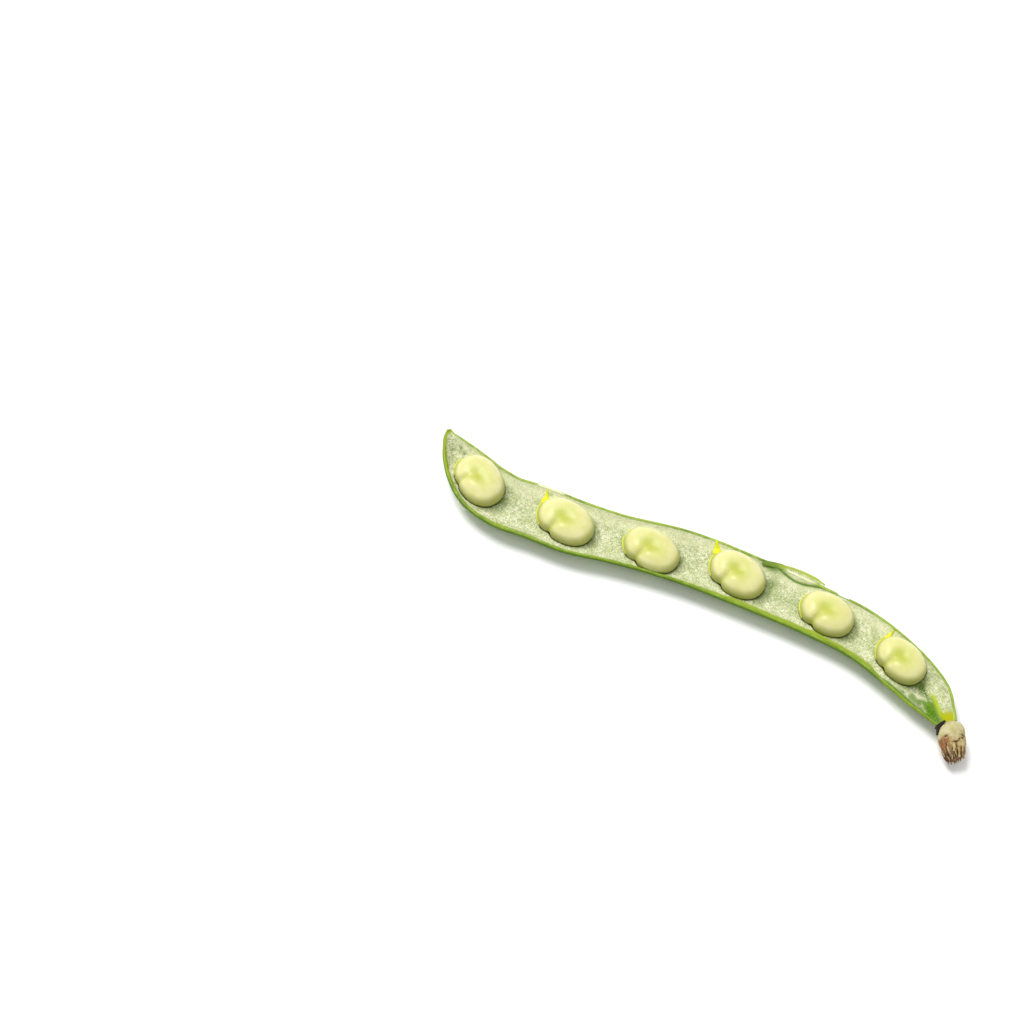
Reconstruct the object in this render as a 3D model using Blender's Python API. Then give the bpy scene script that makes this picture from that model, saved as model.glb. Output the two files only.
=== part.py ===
"""Half of a broad bean pod, opened along its seams, with six beans lying in its felted lining.

The pod is laid out as seen from above: X runs from the beak to the stalk, +Y is the side of the seam
that carries the beans, and +Z is up, out of the opened half. All sizes below are in millimetres, and
heights are given against the plane of the rims, except RIM_HEIGHT itself.
"""

from math import pi

import bmesh
import bpy
import numpy as np
from mathutils import Matrix, Vector

MM = 0.001

# Middle line of the pod from beak to neck: along, across and half the width between the two rims.
COURSE = (
    (-98.5, 0.8, 0.8),
    (-97.0, -0.9, 2.2),
    (-93.7, -3.1, 4.3),
    (-88.7, -5.9, 6.7),
    (-82.3, -8.9, 8.8),
    (-75.9, -11.2, 10.0),
    (-67.0, -11.9, 10.5),
    (-55.3, -9.4, 10.7),
    (-42.0, -7.1, 10.6),
    (-28.4, -3.1, 9.7),
    (-5.1, 4.1, 10.2),
    (18.0, 8.2, 10.1),
    (45.2, 11.6, 9.6),
    (56.8, 12.4, 9.5),
    (65.0, 11.8, 9.3),
    (73.6, 10.2, 9.1),
    (82.5, 7.9, 8.5),
    (90.1, 5.0, 7.3),
    (94.3, 2.6, 5.5),
    (97.0, 0.9, 4.3),
    (98.4, -0.2, 3.6),
)
FOOTPRINT_CENTRE = (5.2, -0.2)
STATIONS = 96
FINE_STATIONS = 400

# Cross-section of the pod: skin outside, rims on both seams, felted lining inside.
RIM_HEIGHT = 8.2
FULL_HALF_WIDTH = 10.7
WALL_DEPTH = 7.6
BULGE = 1.1
BULGE_LENGTH = 10.0
SKIN_POINTS = 15
SKIN_ROUNDNESS = 1.5
SEAM_FALL = 1.1
SEAM_RIDGE = 0.2
RIM_WIDTH = 1.0
RIM_BREAK = (45.5, 49.5)
RIM_BREAK_DEPTH = 0.6
LINING_POINTS = 17
LINING_DEPTH = 3.4
GROOVE_DEPTH = 2.2

# Beans: place along and across, turn in degrees, length and width.
BEANS = (
    (-78.0, -10.3, -24.0, 20.2, 15.2),
    (-44.7, -7.2, -2.0, 20.8, 14.8),
    (-14.8, -0.2, 0.0, 20.2, 14.2),
    (14.0, 8.2, -6.0, 20.3, 14.6),
    (46.3, 12.2, 0.0, 18.9, 13.9),
    (75.1, 11.0, -14.0, 18.3, 13.3),
)
BEAN_THICKNESS = 10.8
BEAN_LEVEL = -0.2
BEAN_ROUNDS = 16
BEAN_SIDES = 28
OUTLINE_POWER = 2.2
NOTCH_ANGLE = -122.0
NOTCH_SPREAD = 24.0
NOTCH_DEPTH = 0.13
CREASE_DEPTH = 1.1
CREASE_WIDTH = 1.5
DIMPLE_DEPTH = 0.5
DIMPLE_WIDTH = 3.2
NEST_GAP = 0.5
STALK_ROOM = 1.5

# Seed stalks: the foot's angle round its bean and its distance from the bean's edge, then the hugged arc.
FUNICLE_FEET = ((161.0, 1.7), (156.0, 3.5), (163.0, 1.6), (155.0, 4.4), (163.0, 1.5), (149.0, 2.8))
FUNICLE_ARC = (174.0, 208.0)
FUNICLE_WIDTH = 1.4
FUNICLE_THICKNESS = 0.8
FUNICLE_LEVEL = 0.5
FUNICLE_SIDES = 8
CLEARANCE = 0.35

# Stalk stub: distance from the neck and radius, from shoulder to torn end.
STUB_PROFILE = (
    (0.0, 2.4),
    (0.9, 3.5),
    (2.4, 4.2),
    (4.6, 4.6),
    (7.0, 4.5),
    (9.4, 4.0),
    (11.2, 3.5),
    (12.3, 2.6),
)
STUB_LEVEL = -1.0
STUB_TURN = -6.0
STUB_FALL = 2.0
STUB_SIDES = 24
STUB_WRINKLES = 7
NECK_GAP = 0.3
FIBRES = 11
FIBRE_LENGTH = 2.9
FIBRE_ROOT = 1.6
FIBRE_RADIUS = 0.45

# Withered flower remains: a torn collar under and beside the neck.
CALYX_ARC = (186.0, 354.0)
CALYX_STEPS = 24
CALYX_RADIUS = 4.1
CALYX_FLARE = 0.75
CALYX_THICKNESS = 0.7

# Strand of seam that has peeled off the far rim.
STRAND_REACH = (18.0, 40.5)
STRAND_THICKNESS = 1.0
STRAND_GAP = 1.3


def clear_scene():
    """Remove every object from the scene."""
    for thing in list(bpy.data.objects):
        bpy.data.objects.remove(thing, do_unlink=True)


def material(name, colour, roughness):
    """A plain Principled material with a linear colour."""
    finish = bpy.data.materials.new(name)
    finish.use_nodes = True
    shader = finish.node_tree.nodes["Principled BSDF"]
    shader.inputs["Base Color"].default_value = (*colour, 1.0)
    shader.inputs["Roughness"].default_value = roughness
    shader.inputs["Metallic"].default_value = 0.0
    return finish


def smoothstep(low, high, value):
    """Rise from 0 at low to 1 at high, with level ends."""
    t = np.clip((value - low) / (high - low), 0.0, 1.0)
    return t * t * (3.0 - 2.0 * t)


def bump(distance, width):
    """A bell of height 1 at distance 0."""
    return np.exp(-((distance / width) ** 2))


def circle(sides):
    """Cosines and sines of points spaced evenly round a circle."""
    turn = np.arange(sides) / sides * 2.0 * pi
    return np.cos(turn), np.sin(turn)


def unit(rows):
    """Rows scaled to length 1."""
    return rows / np.linalg.norm(rows, axis=-1, keepdims=True)


class Course:
    """The pod's middle line, read at even steps: places, headings, sideways directions, half widths."""

    def __init__(self, count):
        rows = np.array(COURSE)
        chord = np.concatenate([[0.0], np.cumsum(np.hypot(*np.diff(rows[:, :2], axis=0).T))])
        slope = np.gradient(rows, chord, axis=0)
        at = np.linspace(0.0, chord[-1], count)
        k = np.clip(np.searchsorted(chord, at, side="right") - 1, 0, len(chord) - 2)
        step = (chord[k + 1] - chord[k])[:, None]
        u = (at - chord[k])[:, None] / step
        blend = smoothstep(0.0, 1.0, u)
        read = rows[k] * (1.0 - blend) + rows[k + 1] * blend
        read = read + step * slope[k] * u * (1.0 - u) ** 2
        read = read + step * slope[k + 1] * u * u * (u - 1.0)
        self.middle = read[:, :2]
        self.half_width = read[:, 2]
        self.heading = unit(np.gradient(self.middle, at, axis=0))
        self.side = np.stack([-self.heading[:, 1], self.heading[:, 0]], axis=1)

    def nearest(self, x, y):
        """Index of the station closest to a plan point, and how far across the middle line it lies."""
        away = np.array([x, y]) - self.middle
        k = int(np.argmin(np.hypot(*away.T)))
        return k, float(away[k] @ self.side[k])


def bean_frame(bean, x, y):
    """Turn plan points into a bean's own axes."""
    turn = np.radians(bean[2])
    dx, dy = x - bean[0], y - bean[1]
    return dx * np.cos(turn) + dy * np.sin(turn), dy * np.cos(turn) - dx * np.sin(turn)


def bean_place(bean, u, v):
    """Turn a bean's own axes into plan points."""
    turn = np.radians(bean[2])
    return bean[0] + u * np.cos(turn) - v * np.sin(turn), bean[1] + u * np.sin(turn) + v * np.cos(turn)


def angle_apart(a, b):
    """Difference of two angles in degrees, from -180 to 180."""
    return (a - b + 180.0) % 360.0 - 180.0


def bean_outline(bean, angle):
    """Distance from a bean's middle to its kidney outline, at an angle in degrees."""
    t = np.radians(angle)
    along = np.abs(2.0 * np.cos(t) / bean[3]) ** OUTLINE_POWER
    across = np.abs(2.0 * np.sin(t) / bean[4]) ** OUTLINE_POWER
    reach = (along + across) ** (-1.0 / OUTLINE_POWER)
    return reach * (1.0 - NOTCH_DEPTH * bump(angle_apart(angle, NOTCH_ANGLE), NOTCH_SPREAD))


def nest_floor(x, y):
    """Height of the nests' floors over the plan, and 0 where there is no nest."""
    height = np.zeros(np.shape(x))
    for bean in BEANS:
        u, v = bean_frame(bean, x, y)
        angle = np.degrees(np.arctan2(v, u))
        stalk = STALK_ROOM * bump(angle_apart(angle, sum(FUNICLE_ARC) / 2.0), 48.0)
        reach = np.hypot(u, v) / (bean_outline(bean, angle) + NEST_GAP + stalk)
        bowl = np.sqrt(np.clip(1.0 - reach**2, 0.0, 1.0))
        floor = BEAN_LEVEL - (BEAN_THICKNESS / 2.0 + NEST_GAP) * bowl
        height = np.minimum(height, np.where(reach < 1.0, floor, 0.0))
    return height


def lining_height(x, y, across, half_width):
    """Height of the felted lining at plan points that lie this far across the middle line."""
    inner = half_width - rim_width(half_width)
    share = np.clip(np.abs(across) / inner, 0.0, 1.0)
    fullness = smoothstep(1.0, 7.5, half_width)
    height = -fullness * (0.25 + LINING_DEPTH * (1.0 - share**2.4) ** 0.7)
    groove = bump(across + 0.5 * inner, 0.22 * inner + 0.4)
    height = height - GROOVE_DEPTH * smoothstep(84.0, 91.0, x) * groove * fullness
    lip = smoothstep(93.0, 97.0, x - 0.7 * y) * smoothstep(-0.25, 0.25, across / inner)
    height = height * (1.0 - 0.75 * lip)
    return np.minimum(height, nest_floor(x, y))


def rim_width(half_width):
    """Width of the green rim: full along the pod, and in step with it towards its ends."""
    return min(RIM_WIDTH, 0.42 * half_width)


def skin_depth(x, half_width):
    """Depth of the pod's underside below the rims, on the middle line."""
    share = 1.0 - (1.0 - min(1.0, half_width / FULL_HALF_WIDTH)) ** 2
    depth = WALL_DEPTH * share**1.2
    return depth + BULGE * sum(bump(x - bean[0], BULGE_LENGTH) for bean in BEANS)


def rim_edge(half_width, fall, broken):
    """Across and height of the three points that round a rim, from inside to outside."""
    rim = rim_width(half_width)
    ridge = SEAM_RIDGE * min(1.0, half_width / 6.0)
    across = np.array([half_width - 0.75 * rim, half_width - 0.2 * rim, half_width + ridge])
    height = np.array([0.0, 0.0, -0.5 * fall])
    return across - broken * np.array([0.0, 0.1, 0.5]), height - broken * RIM_BREAK_DEPTH


def pod_section(middle, side, half_width):
    """Points of one cross-section: near rim, skin from near to far, far rim, and back over the lining."""
    depth = skin_depth(middle[0], half_width)
    fall = min(SEAM_FALL, 0.35 * depth)
    far = middle[0] + side[0] * half_width
    broken = float(RIM_BREAK[0] < far < RIM_BREAK[1])
    near_across, near_z = rim_edge(half_width, fall, 0.0)
    far_across, far_z = rim_edge(half_width, fall, broken)
    turn = np.linspace(pi, 0.0, SKIN_POINTS)
    skin_across = (half_width - 0.1) * np.cos(turn)
    skin_z = -fall - (depth - fall) * np.sin(turn) ** SKIN_ROUNDNESS
    lining_across = (half_width - rim_width(half_width)) * np.cos(np.linspace(0.0, pi, LINING_POINTS))
    x = middle[0] + side[0] * lining_across
    y = middle[1] + side[1] * lining_across
    lining_z = lining_height(x, y, lining_across, half_width)
    across = np.concatenate([-near_across, skin_across, far_across[::-1], lining_across])
    height = np.concatenate([near_z, skin_z, far_z[::-1], lining_z])
    return np.column_stack([middle + np.outer(across, side), height])


def to_frame(points):
    """Points in millimetres to the part's frame in metres, flattened where they meet the ground."""
    placed = np.array(points, dtype=float)
    placed[:, :2] -= FOOTPRINT_CENTRE
    placed[:, 2] = np.maximum(placed[:, 2] + RIM_HEIGHT, 0.0)
    return placed * MM


def finish_mesh(frame, name):
    """Turn a bmesh into a mesh of triangles whose faces point out."""
    bmesh.ops.recalc_face_normals(frame, faces=frame.faces)
    bmesh.ops.triangulate(frame, faces=frame.faces)
    mesh = bpy.data.meshes.new(name)
    frame.to_mesh(mesh)
    frame.free()
    return mesh


def swept_mesh(name, rings):
    """A closed mesh through rings of equally many points, with a flat cap on each end."""
    frame = bmesh.new()
    loops = [[frame.verts.new(point) for point in to_frame(ring)] for ring in rings]
    for first, second in zip(loops, loops[1:]):
        for k in range(len(first)):
            j = (k + 1) % len(first)
            frame.faces.new((first[k], first[j], second[j], second[k]))
    frame.faces.new(loops[0][::-1])
    frame.faces.new(loops[-1])
    return finish_mesh(frame, name)


def add_object(name, mesh, finish, root):
    """Put a mesh in the scene under the root empty, shaded smooth with sharp folds kept."""
    mesh.materials.append(finish)
    mesh.shade_smooth()
    mesh.set_sharp_from_angle(angle=np.radians(50.0))
    thing = bpy.data.objects.new(name, mesh)
    bpy.context.collection.objects.link(thing)
    thing.parent = root
    return thing


def join_by_union(thing, meshes):
    """Fuse extra meshes into an object with one Boolean union, then remove them."""
    extras = bpy.data.collections.new("extras")
    bpy.context.scene.collection.children.link(extras)
    for mesh in meshes:
        extras.objects.link(bpy.data.objects.new(mesh.name, mesh))
    union = thing.modifiers.new("union", "BOOLEAN")
    union.operation = "UNION"
    union.operand_type = "COLLECTION"
    union.collection = extras
    bpy.context.view_layer.objects.active = thing
    bpy.ops.object.modifier_apply(modifier=union.name)
    for extra in list(extras.objects):
        bpy.data.objects.remove(extra, do_unlink=True)
    bpy.data.collections.remove(extras)


def pod_mesh():
    """The pod's half: skin, rims and lining in one sweep from the beak to the neck."""
    course = Course(STATIONS)
    rings = [pod_section(*row) for row in zip(course.middle, course.side, course.half_width)]
    return swept_mesh("pod_shell", rings)


def strand_mesh():
    """The peeled strand: part of the far rim at one end, lying free outside it at the other."""
    course = Course(FINE_STATIONS)
    far_x = course.middle[:, 0] + course.side[:, 0] * course.half_width
    rows = np.flatnonzero((far_x > STRAND_REACH[0]) & (far_x < STRAND_REACH[1]))[::4]
    cosines, sines = circle(6)
    rings = []
    for k, share in zip(rows, np.linspace(0.0, 1.0, len(rows))):
        away = STRAND_GAP * smoothstep(0.3, 0.65, share) - 0.4 * smoothstep(0.7, 1.0, share)
        radius = 0.5 * STRAND_THICKNESS * (1.0 - 0.4 * smoothstep(0.75, 1.0, share))
        across = course.half_width[k] + away + radius * cosines
        plan = course.middle[k] + np.outer(across, course.side[k])
        rings.append(np.column_stack([plan, radius * sines - 0.5]))
    return swept_mesh("strand", rings)


def pod(root):
    """The pod's half with its peeled strand."""
    finish = material("pod_skin", (0.30, 0.44, 0.06), 0.5)
    thing = add_object("pod_shell", pod_mesh(), finish, root)
    join_by_union(thing, [strand_mesh()])


def bean_points(bean, directions):
    """Move unit directions out to a bean's surface: kidney outline, crease and dimple on both faces."""
    angle = np.degrees(np.arctan2(directions[:, 1] * bean[4], directions[:, 0] * bean[3]))
    level = np.hypot(directions[:, 0], directions[:, 1])
    reach = bean_outline(bean, angle) * level**0.9
    u = reach * np.cos(np.radians(angle))
    v = reach * np.sin(np.radians(angle))
    notch = np.radians(NOTCH_ANGLE)
    edge = bean_outline(bean, NOTCH_ANGLE)
    run = np.clip(u * np.cos(notch) + v * np.sin(notch), 0.0, edge)
    off = np.hypot(u - run * np.cos(notch), v - run * np.sin(notch))
    hollow = CREASE_DEPTH * bump(off, CREASE_WIDTH) * smoothstep(0.0, edge, run)
    hollow = hollow + DIMPLE_DEPTH * bump(np.hypot(u / 1.4, v - 0.8), DIMPLE_WIDTH)
    share = np.abs(directions[:, 2])
    height = np.sign(directions[:, 2]) * (0.5 * BEAN_THICKNESS * share**0.9 - hollow * share**0.5)
    return np.column_stack([*bean_place(bean, u, v), height + BEAN_LEVEL])


def beans(root):
    """The six beans, each a moved sphere of its own size."""
    finish = material("bean_skin", (0.74, 0.76, 0.36), 0.4)
    for number, bean in enumerate(BEANS, start=1):
        frame = bmesh.new()
        bmesh.ops.create_uvsphere(frame, u_segments=BEAN_SIDES, v_segments=BEAN_ROUNDS, radius=1.0)
        directions = np.array([vert.co for vert in frame.verts])
        for vert, point in zip(frame.verts, to_frame(bean_points(bean, directions))):
            vert.co = point
        name = f"bean_{number}"
        add_object(name, finish_mesh(frame, name), finish, root)


def funicle_middle(bean, foot):
    """Plan points along a seed stalk: straight from its foot to the bean's end, then round that end."""
    arc = np.linspace(*FUNICLE_ARC, 8)
    u, v = bean_polar(arc, bean_outline(bean, arc) + CLEARANCE + 0.45 * FUNICLE_WIDTH)
    foot_u, foot_v = bean_polar(foot[0], bean_outline(bean, foot[0]) + foot[1])
    share = np.linspace(0.0, 1.0, 6)[:-1]
    u = np.concatenate([foot_u + (u[0] - foot_u) * share, u])
    v = np.concatenate([foot_v + (v[0] - foot_v) * share, v])
    return np.column_stack(bean_place(bean, u, v))


def bean_polar(angle, reach):
    """A bean's own coordinates of points at angles in degrees and distances from its middle."""
    return reach * np.cos(np.radians(angle)), reach * np.sin(np.radians(angle))


def height_over_lining(course, points, half_span):
    """Highest lining under each plan point and half a span to either side of it."""
    shifts = np.array([(0.0, 0.0), (half_span, 0.0), (-half_span, 0.0), (0.0, half_span), (0.0, -half_span)])
    heights = []
    for point in points:
        under = []
        for x, y in point + shifts:
            k, across = course.nearest(x, y)
            under.append(float(lining_height(x, y, across, course.half_width[k])))
        heights.append(max(under))
    return np.array(heights)


def funicle_mesh(name, course, bean, foot):
    """One seed stalk: a flat foot on the lining that turns on edge as it hugs the bean."""
    plan = funicle_middle(bean, foot)
    share = np.linspace(0.0, 1.0, len(plan))
    lying = height_over_lining(course, plan, 0.5 * FUNICLE_WIDTH) + CLEARANCE + 0.5 * FUNICLE_THICKNESS
    hugging = smoothstep(0.1, 0.45, share)
    height = np.maximum(lying, FUNICLE_LEVEL * hugging + lying * (1.0 - hugging))
    middle = np.column_stack([plan, height])
    heading = unit(np.gradient(middle, axis=0))
    outward = unit(np.cross(heading, (0.0, 0.0, 1.0)))
    upward = np.cross(outward, heading)
    roll = np.radians(75.0) * hugging
    wide = FUNICLE_WIDTH * (1.0 - 0.35 * share) * (1.0 + 0.7 * bump(share, 0.15))
    thick = FUNICLE_THICKNESS * (1.0 - 0.15 * share)
    cosines, sines = circle(FUNICLE_SIDES)
    rings = []
    for k, centre in enumerate(middle):
        flat = outward[k] * np.cos(roll[k]) + upward[k] * np.sin(roll[k])
        across = upward[k] * np.cos(roll[k]) - outward[k] * np.sin(roll[k])
        ring = np.outer(cosines, flat) * wide[k] + np.outer(sines, across) * thick[k]
        rings.append(centre + 0.5 * ring)
    return swept_mesh(name, rings)


def funicles(root):
    """The six seed stalks."""
    finish = material("funicle", (0.62, 0.72, 0.03), 0.45)
    course = Course(FINE_STATIONS)
    for number, (bean, foot) in enumerate(zip(BEANS, FUNICLE_FEET), start=1):
        name = f"funicle_{number}"
        add_object(name, funicle_mesh(name, course, bean, foot), finish, root)


def stub_axis(run):
    """Middle points of the stalk stub at distances from the neck, negative ones inside the pod."""
    course = Course(STATIONS)
    turn = np.radians(STUB_TURN)
    heading = course.heading[-1]
    side = course.side[-1]
    bent = heading * np.cos(turn) + side * np.sin(turn)
    straight = np.minimum(run, NECK_GAP)
    onward = np.maximum(run - NECK_GAP, 0.0)
    plan = course.middle[-1] + np.outer(straight, heading) + np.outer(onward, bent)
    fall = STUB_FALL * (onward / STUB_PROFILE[-1][0]) ** 1.5
    return np.column_stack([plan, STUB_LEVEL - fall]), bent, side


def fibre_mesh(number, base, heading):
    """One torn fibre: a slim cone rooted inside the stub's end, leaning outwards."""
    turn = 2.4 * number
    spread = 0.7 + 0.35 * (number % 5)
    lean = 0.12 * spread * (1 + number % 2)
    side = Vector((-heading.y, heading.x, 0.0))
    out = side * np.cos(turn) + Vector((0.0, 0.0, 1.0)) * np.sin(turn)
    length = FIBRE_LENGTH * (0.7 + 0.13 * (number % 4))
    direction = (heading + out * lean).normalized()
    frame = bmesh.new()
    bmesh.ops.create_cone(
        frame, cap_ends=True, segments=5, radius1=FIBRE_RADIUS, radius2=0.4 * FIBRE_RADIUS, depth=length
    )
    place = base + out * spread + direction * (0.5 * length - FIBRE_ROOT)
    turned = direction.to_track_quat("Z", "Y").to_matrix().to_4x4()
    frame.transform(Matrix.Translation(place) @ turned)
    points = to_frame([vert.co for vert in frame.verts])
    for vert, point in zip(frame.verts, points):
        vert.co = point
    return finish_mesh(frame, f"fibre_{number}")


def stub(root):
    """The swollen stalk stub, wrinkled along its length, with torn fibres at its end."""
    finish = material("dried_stalk", (0.52, 0.45, 0.28), 0.8)
    profile = np.array(STUB_PROFILE)
    run = np.linspace(0.0, profile[-1, 0], 14)
    radius = np.interp(run, *profile.T)
    middle, bent, side = stub_axis(run + NECK_GAP)
    cosines, sines = circle(STUB_SIDES)
    turn = np.arange(STUB_SIDES) / STUB_SIDES * 2.0 * pi
    rings = []
    for centre, reach, share in zip(middle, radius, run / run[-1]):
        wrinkle = 1.0 + (0.015 + 0.06 * share) * np.sin(STUB_WRINKLES * turn + 2.0 * share)
        plan = centre[:2] + np.outer(reach * wrinkle * cosines, side)
        rings.append(np.column_stack([plan, centre[2] + reach * wrinkle * sines]))
    thing = add_object("stalk_stub", swept_mesh("stalk_stub", rings), finish, root)
    heading = Vector((*bent, -0.15)).normalized()
    base = Vector(middle[-1])
    join_by_union(thing, [fibre_mesh(number, base, heading) for number in range(FIBRES)])


def calyx(root):
    """The torn collar of flower remains: ragged teeth lie back under the pod, thickened by a Solidify."""
    finish = material("withered_calyx", (0.05, 0.025, 0.015), 0.9)
    frame = bmesh.new()
    columns = []
    for step in range(CALYX_STEPS + 1):
        share = step / CALYX_STEPS
        turn = np.radians(CALYX_ARC[0] + (CALYX_ARC[1] - CALYX_ARC[0]) * share)
        tooth = abs(np.sin(4.0 * pi * share + 0.5)) * (0.75 + 0.25 * np.cos(5.0 * share))
        run = np.array([1.4, 0.2, -0.5, -0.7 - 0.6 * tooth])
        middle, _, side = stub_axis(run)
        sideways = CALYX_RADIUS - CALYX_FLARE * np.minimum(run, 0.0)
        down = CALYX_RADIUS + 0.25 * tooth * np.maximum(-run, 0.0)
        plan = middle[:, :2] + np.outer(sideways * np.cos(turn), side)
        ring = np.column_stack([plan, STUB_LEVEL + down * np.sin(turn)])
        columns.append([frame.verts.new(point) for point in to_frame(ring)])
    for first, second in zip(columns, columns[1:]):
        for k in range(len(first) - 1):
            frame.faces.new((first[k], second[k], second[k + 1], first[k + 1]))
    mesh = finish_mesh(frame, "calyx_remains")
    thing = add_object("calyx_remains", mesh, finish, root)
    wall = thing.modifiers.new("wall", "SOLIDIFY")
    wall.thickness = CALYX_THICKNESS * MM
    wall.offset = 1.0


def main():
    """Build every piece under one empty."""
    clear_scene()
    root = bpy.data.objects.new("broad_bean", None)
    bpy.context.collection.objects.link(root)
    pod(root)
    beans(root)
    funicles(root)
    stub(root)
    calyx(root)


main()
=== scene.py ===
"""Fine model of a broad bean pod opened along its seams, with six beans in its felted lining.

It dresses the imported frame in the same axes: X runs from the beak to the stalk, +Y is the seam that
carries the beans, and +Z is up. Sizes are in millimetres, and heights count from the plane of the rims.
Where two numbers give a smooth change, as in beak_felt, it begins at the first and is whole at the second.
"""

import logging
from collections.abc import Iterable
from dataclasses import dataclass, field
from enum import Enum

import bpy
import numpy as np
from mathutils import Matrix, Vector

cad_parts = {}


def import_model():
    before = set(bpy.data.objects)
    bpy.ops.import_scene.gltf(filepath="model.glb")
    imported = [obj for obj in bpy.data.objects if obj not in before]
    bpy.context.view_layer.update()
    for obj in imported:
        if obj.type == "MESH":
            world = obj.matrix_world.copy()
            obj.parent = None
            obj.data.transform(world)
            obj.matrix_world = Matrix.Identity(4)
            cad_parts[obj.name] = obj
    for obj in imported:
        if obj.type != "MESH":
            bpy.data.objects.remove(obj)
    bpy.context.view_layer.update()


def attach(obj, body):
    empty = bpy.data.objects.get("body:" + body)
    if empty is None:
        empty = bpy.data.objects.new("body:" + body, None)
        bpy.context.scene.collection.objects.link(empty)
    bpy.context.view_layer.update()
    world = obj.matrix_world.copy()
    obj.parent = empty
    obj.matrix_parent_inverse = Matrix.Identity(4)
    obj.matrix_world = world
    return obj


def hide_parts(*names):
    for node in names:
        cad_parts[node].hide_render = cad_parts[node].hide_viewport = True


MM = 0.001
FOOTPRINT_CENTRE = (5.2, -0.2)
RIM_HEIGHT = 8.2
MERGE_DISTANCE = 1e-6
NOISE_CELLS = 128
UP = np.array([0.0, 0.0, 1.0])

log = logging.getLogger("broad_bean")

Array = np.ndarray
Pair = tuple[float, float]
Socket = bpy.types.NodeSocket


class Zone(Enum):
    """Measures painted on a mesh for its material to read."""

    ALONG = "along"
    ACROSS = "across"
    LINING = "lining"
    RIM = "rim"
    EDGE = "edge"
    WALL = "wall"
    DAMP = "damp_and_shade"
    CONTACT = "contact_shadow_and_bruise"
    BARE = "bare"
    RIDGE = "ridge"
    SILL = "sill"
    PLUG = "plug"
    HOLLOW = "hollow"
    FLANK = "flank_tint_and_shade"
    SHARE = "share"
    GROOVE = "groove"
    STAIN = "stain"


def linear(code: str) -> tuple[float, float, float, float]:
    """Turn an sRGB hex colour into a linear one.

    Args:
        code: The colour as "#rrggbb".

    Returns:
        Linear red, green, blue and an alpha of 1.
    """
    parts = [int(code[k : k + 2], 16) / 255.0 for k in (1, 3, 5)]
    red, green, blue = (c / 12.92 if c <= 0.04045 else ((c + 0.055) / 1.055) ** 2.4 for c in parts)
    return red, green, blue, 1.0


def smoothstep(low: float | Array, high: float | Array, value: Array) -> Array:
    """Rise from 0 at low to 1 at high, with level ends."""
    t = np.clip((value - low) / (high - low), 0.0, 1.0)
    return t * t * (3.0 - 2.0 * t)


def bump(distance: Array, width: Array | float) -> Array:
    """A bell of height 1 at distance 0."""
    return np.exp(-((distance / width) ** 2))


def unit(rows: Array) -> Array:
    """Rows scaled to length 1."""
    return rows / np.linalg.norm(rows, axis=-1, keepdims=True)


def angle_apart(a: Array, b: float) -> Array:
    """Difference of two angles in degrees, from -180 to 180."""
    return (a - b + 180.0) % 360.0 - 180.0


def soft_min(a: Array, b: Array, blend: float) -> Array:
    """The lower of two heights, rounded where they cross."""
    mixed = np.clip(0.5 + 0.5 * (b - a) / blend, 0.0, 1.0)
    return b * (1.0 - mixed) + a * mixed - blend * mixed * (1.0 - mixed)


def smoothed(path: Array, times: int) -> Array:
    """Draw the inner points of a path towards their neighbours.

    Args:
        path: Points, one row each.
        times: How often to do so.

    Returns:
        The smoother path.
    """
    path = path.copy()
    for _ in range(times):
        path[1:-1] = (path[:-2] + 2.0 * path[1:-1] + path[2:]) / 4.0
    return path


def read_line(rows: Array, knots: Array, where: Array) -> Array:
    """Read rows of values between their knots along straight lines."""
    return np.column_stack([np.interp(where, knots, column) for column in rows.T])


def read_curve(rows: Array, knots: Array, where: Array) -> Array:
    """Read rows of values between their knots along a smooth curve.

    Args:
        rows: One row of values for each knot.
        knots: Where each row stands, rising.
        where: Places to read at.

    Returns:
        A row of values for each place.
    """
    slope = np.gradient(rows, knots, axis=0)
    k = np.clip(np.searchsorted(knots, where, side="right") - 1, 0, len(knots) - 2)
    step = (knots[k + 1] - knots[k])[:, None]
    u = (where - knots[k])[:, None] / step
    blend = smoothstep(0.0, 1.0, u)
    read = rows[k] * (1.0 - blend) + rows[k + 1] * blend
    return read + step * slope[k] * u * (1.0 - u) ** 2 + step * slope[k + 1] * u * u * (u - 1.0)


def draw_through(control: Array, count: int) -> Array:
    """Draw a smooth curve through the columns of some control values.

    Args:
        control: Control values, one curve to a row.
        count: How many even steps to read.

    Returns:
        The curves, one to a row.
    """
    last = control.shape[1] - 1
    at = np.linspace(0.0, last, count)
    k = np.minimum(at.astype(int), last - 1)
    u = at - k
    padded = np.concatenate([control[:, :1], control, control[:, -1:]], axis=1)
    p0, p1, p2, p3 = (padded[:, k + shift] for shift in range(4))
    bend = 2 * p0 - 5 * p1 + 4 * p2 - p3 + u * (3 * (p1 - p2) + p3 - p0)
    return p1 + 0.5 * u * (p2 - p0 + u * bend)


def noise(u: Array, v: Array | float, seed: int) -> Array:
    """Smooth random heights over a plane, one cell to a unit.

    Args:
        u: First coordinate.
        v: Second coordinate.
        seed: Which random field to read.

    Returns:
        Values from -1 to 1.
    """
    table = np.random.default_rng(seed).uniform(-1.0, 1.0, (NOISE_CELLS, NOISE_CELLS))
    left, low = np.floor(u).astype(int), np.floor(v).astype(int)
    fu, fv = smoothstep(0.0, 1.0, u - left), smoothstep(0.0, 1.0, v - low)
    left, right = left % NOISE_CELLS, (left + 1) % NOISE_CELLS
    low, high = low % NOISE_CELLS, (low + 1) % NOISE_CELLS
    near = table[left, low] * (1.0 - fu) + table[right, low] * fu
    far = table[left, high] * (1.0 - fu) + table[right, high] * fu
    return near * (1.0 - fv) + far * fv


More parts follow.
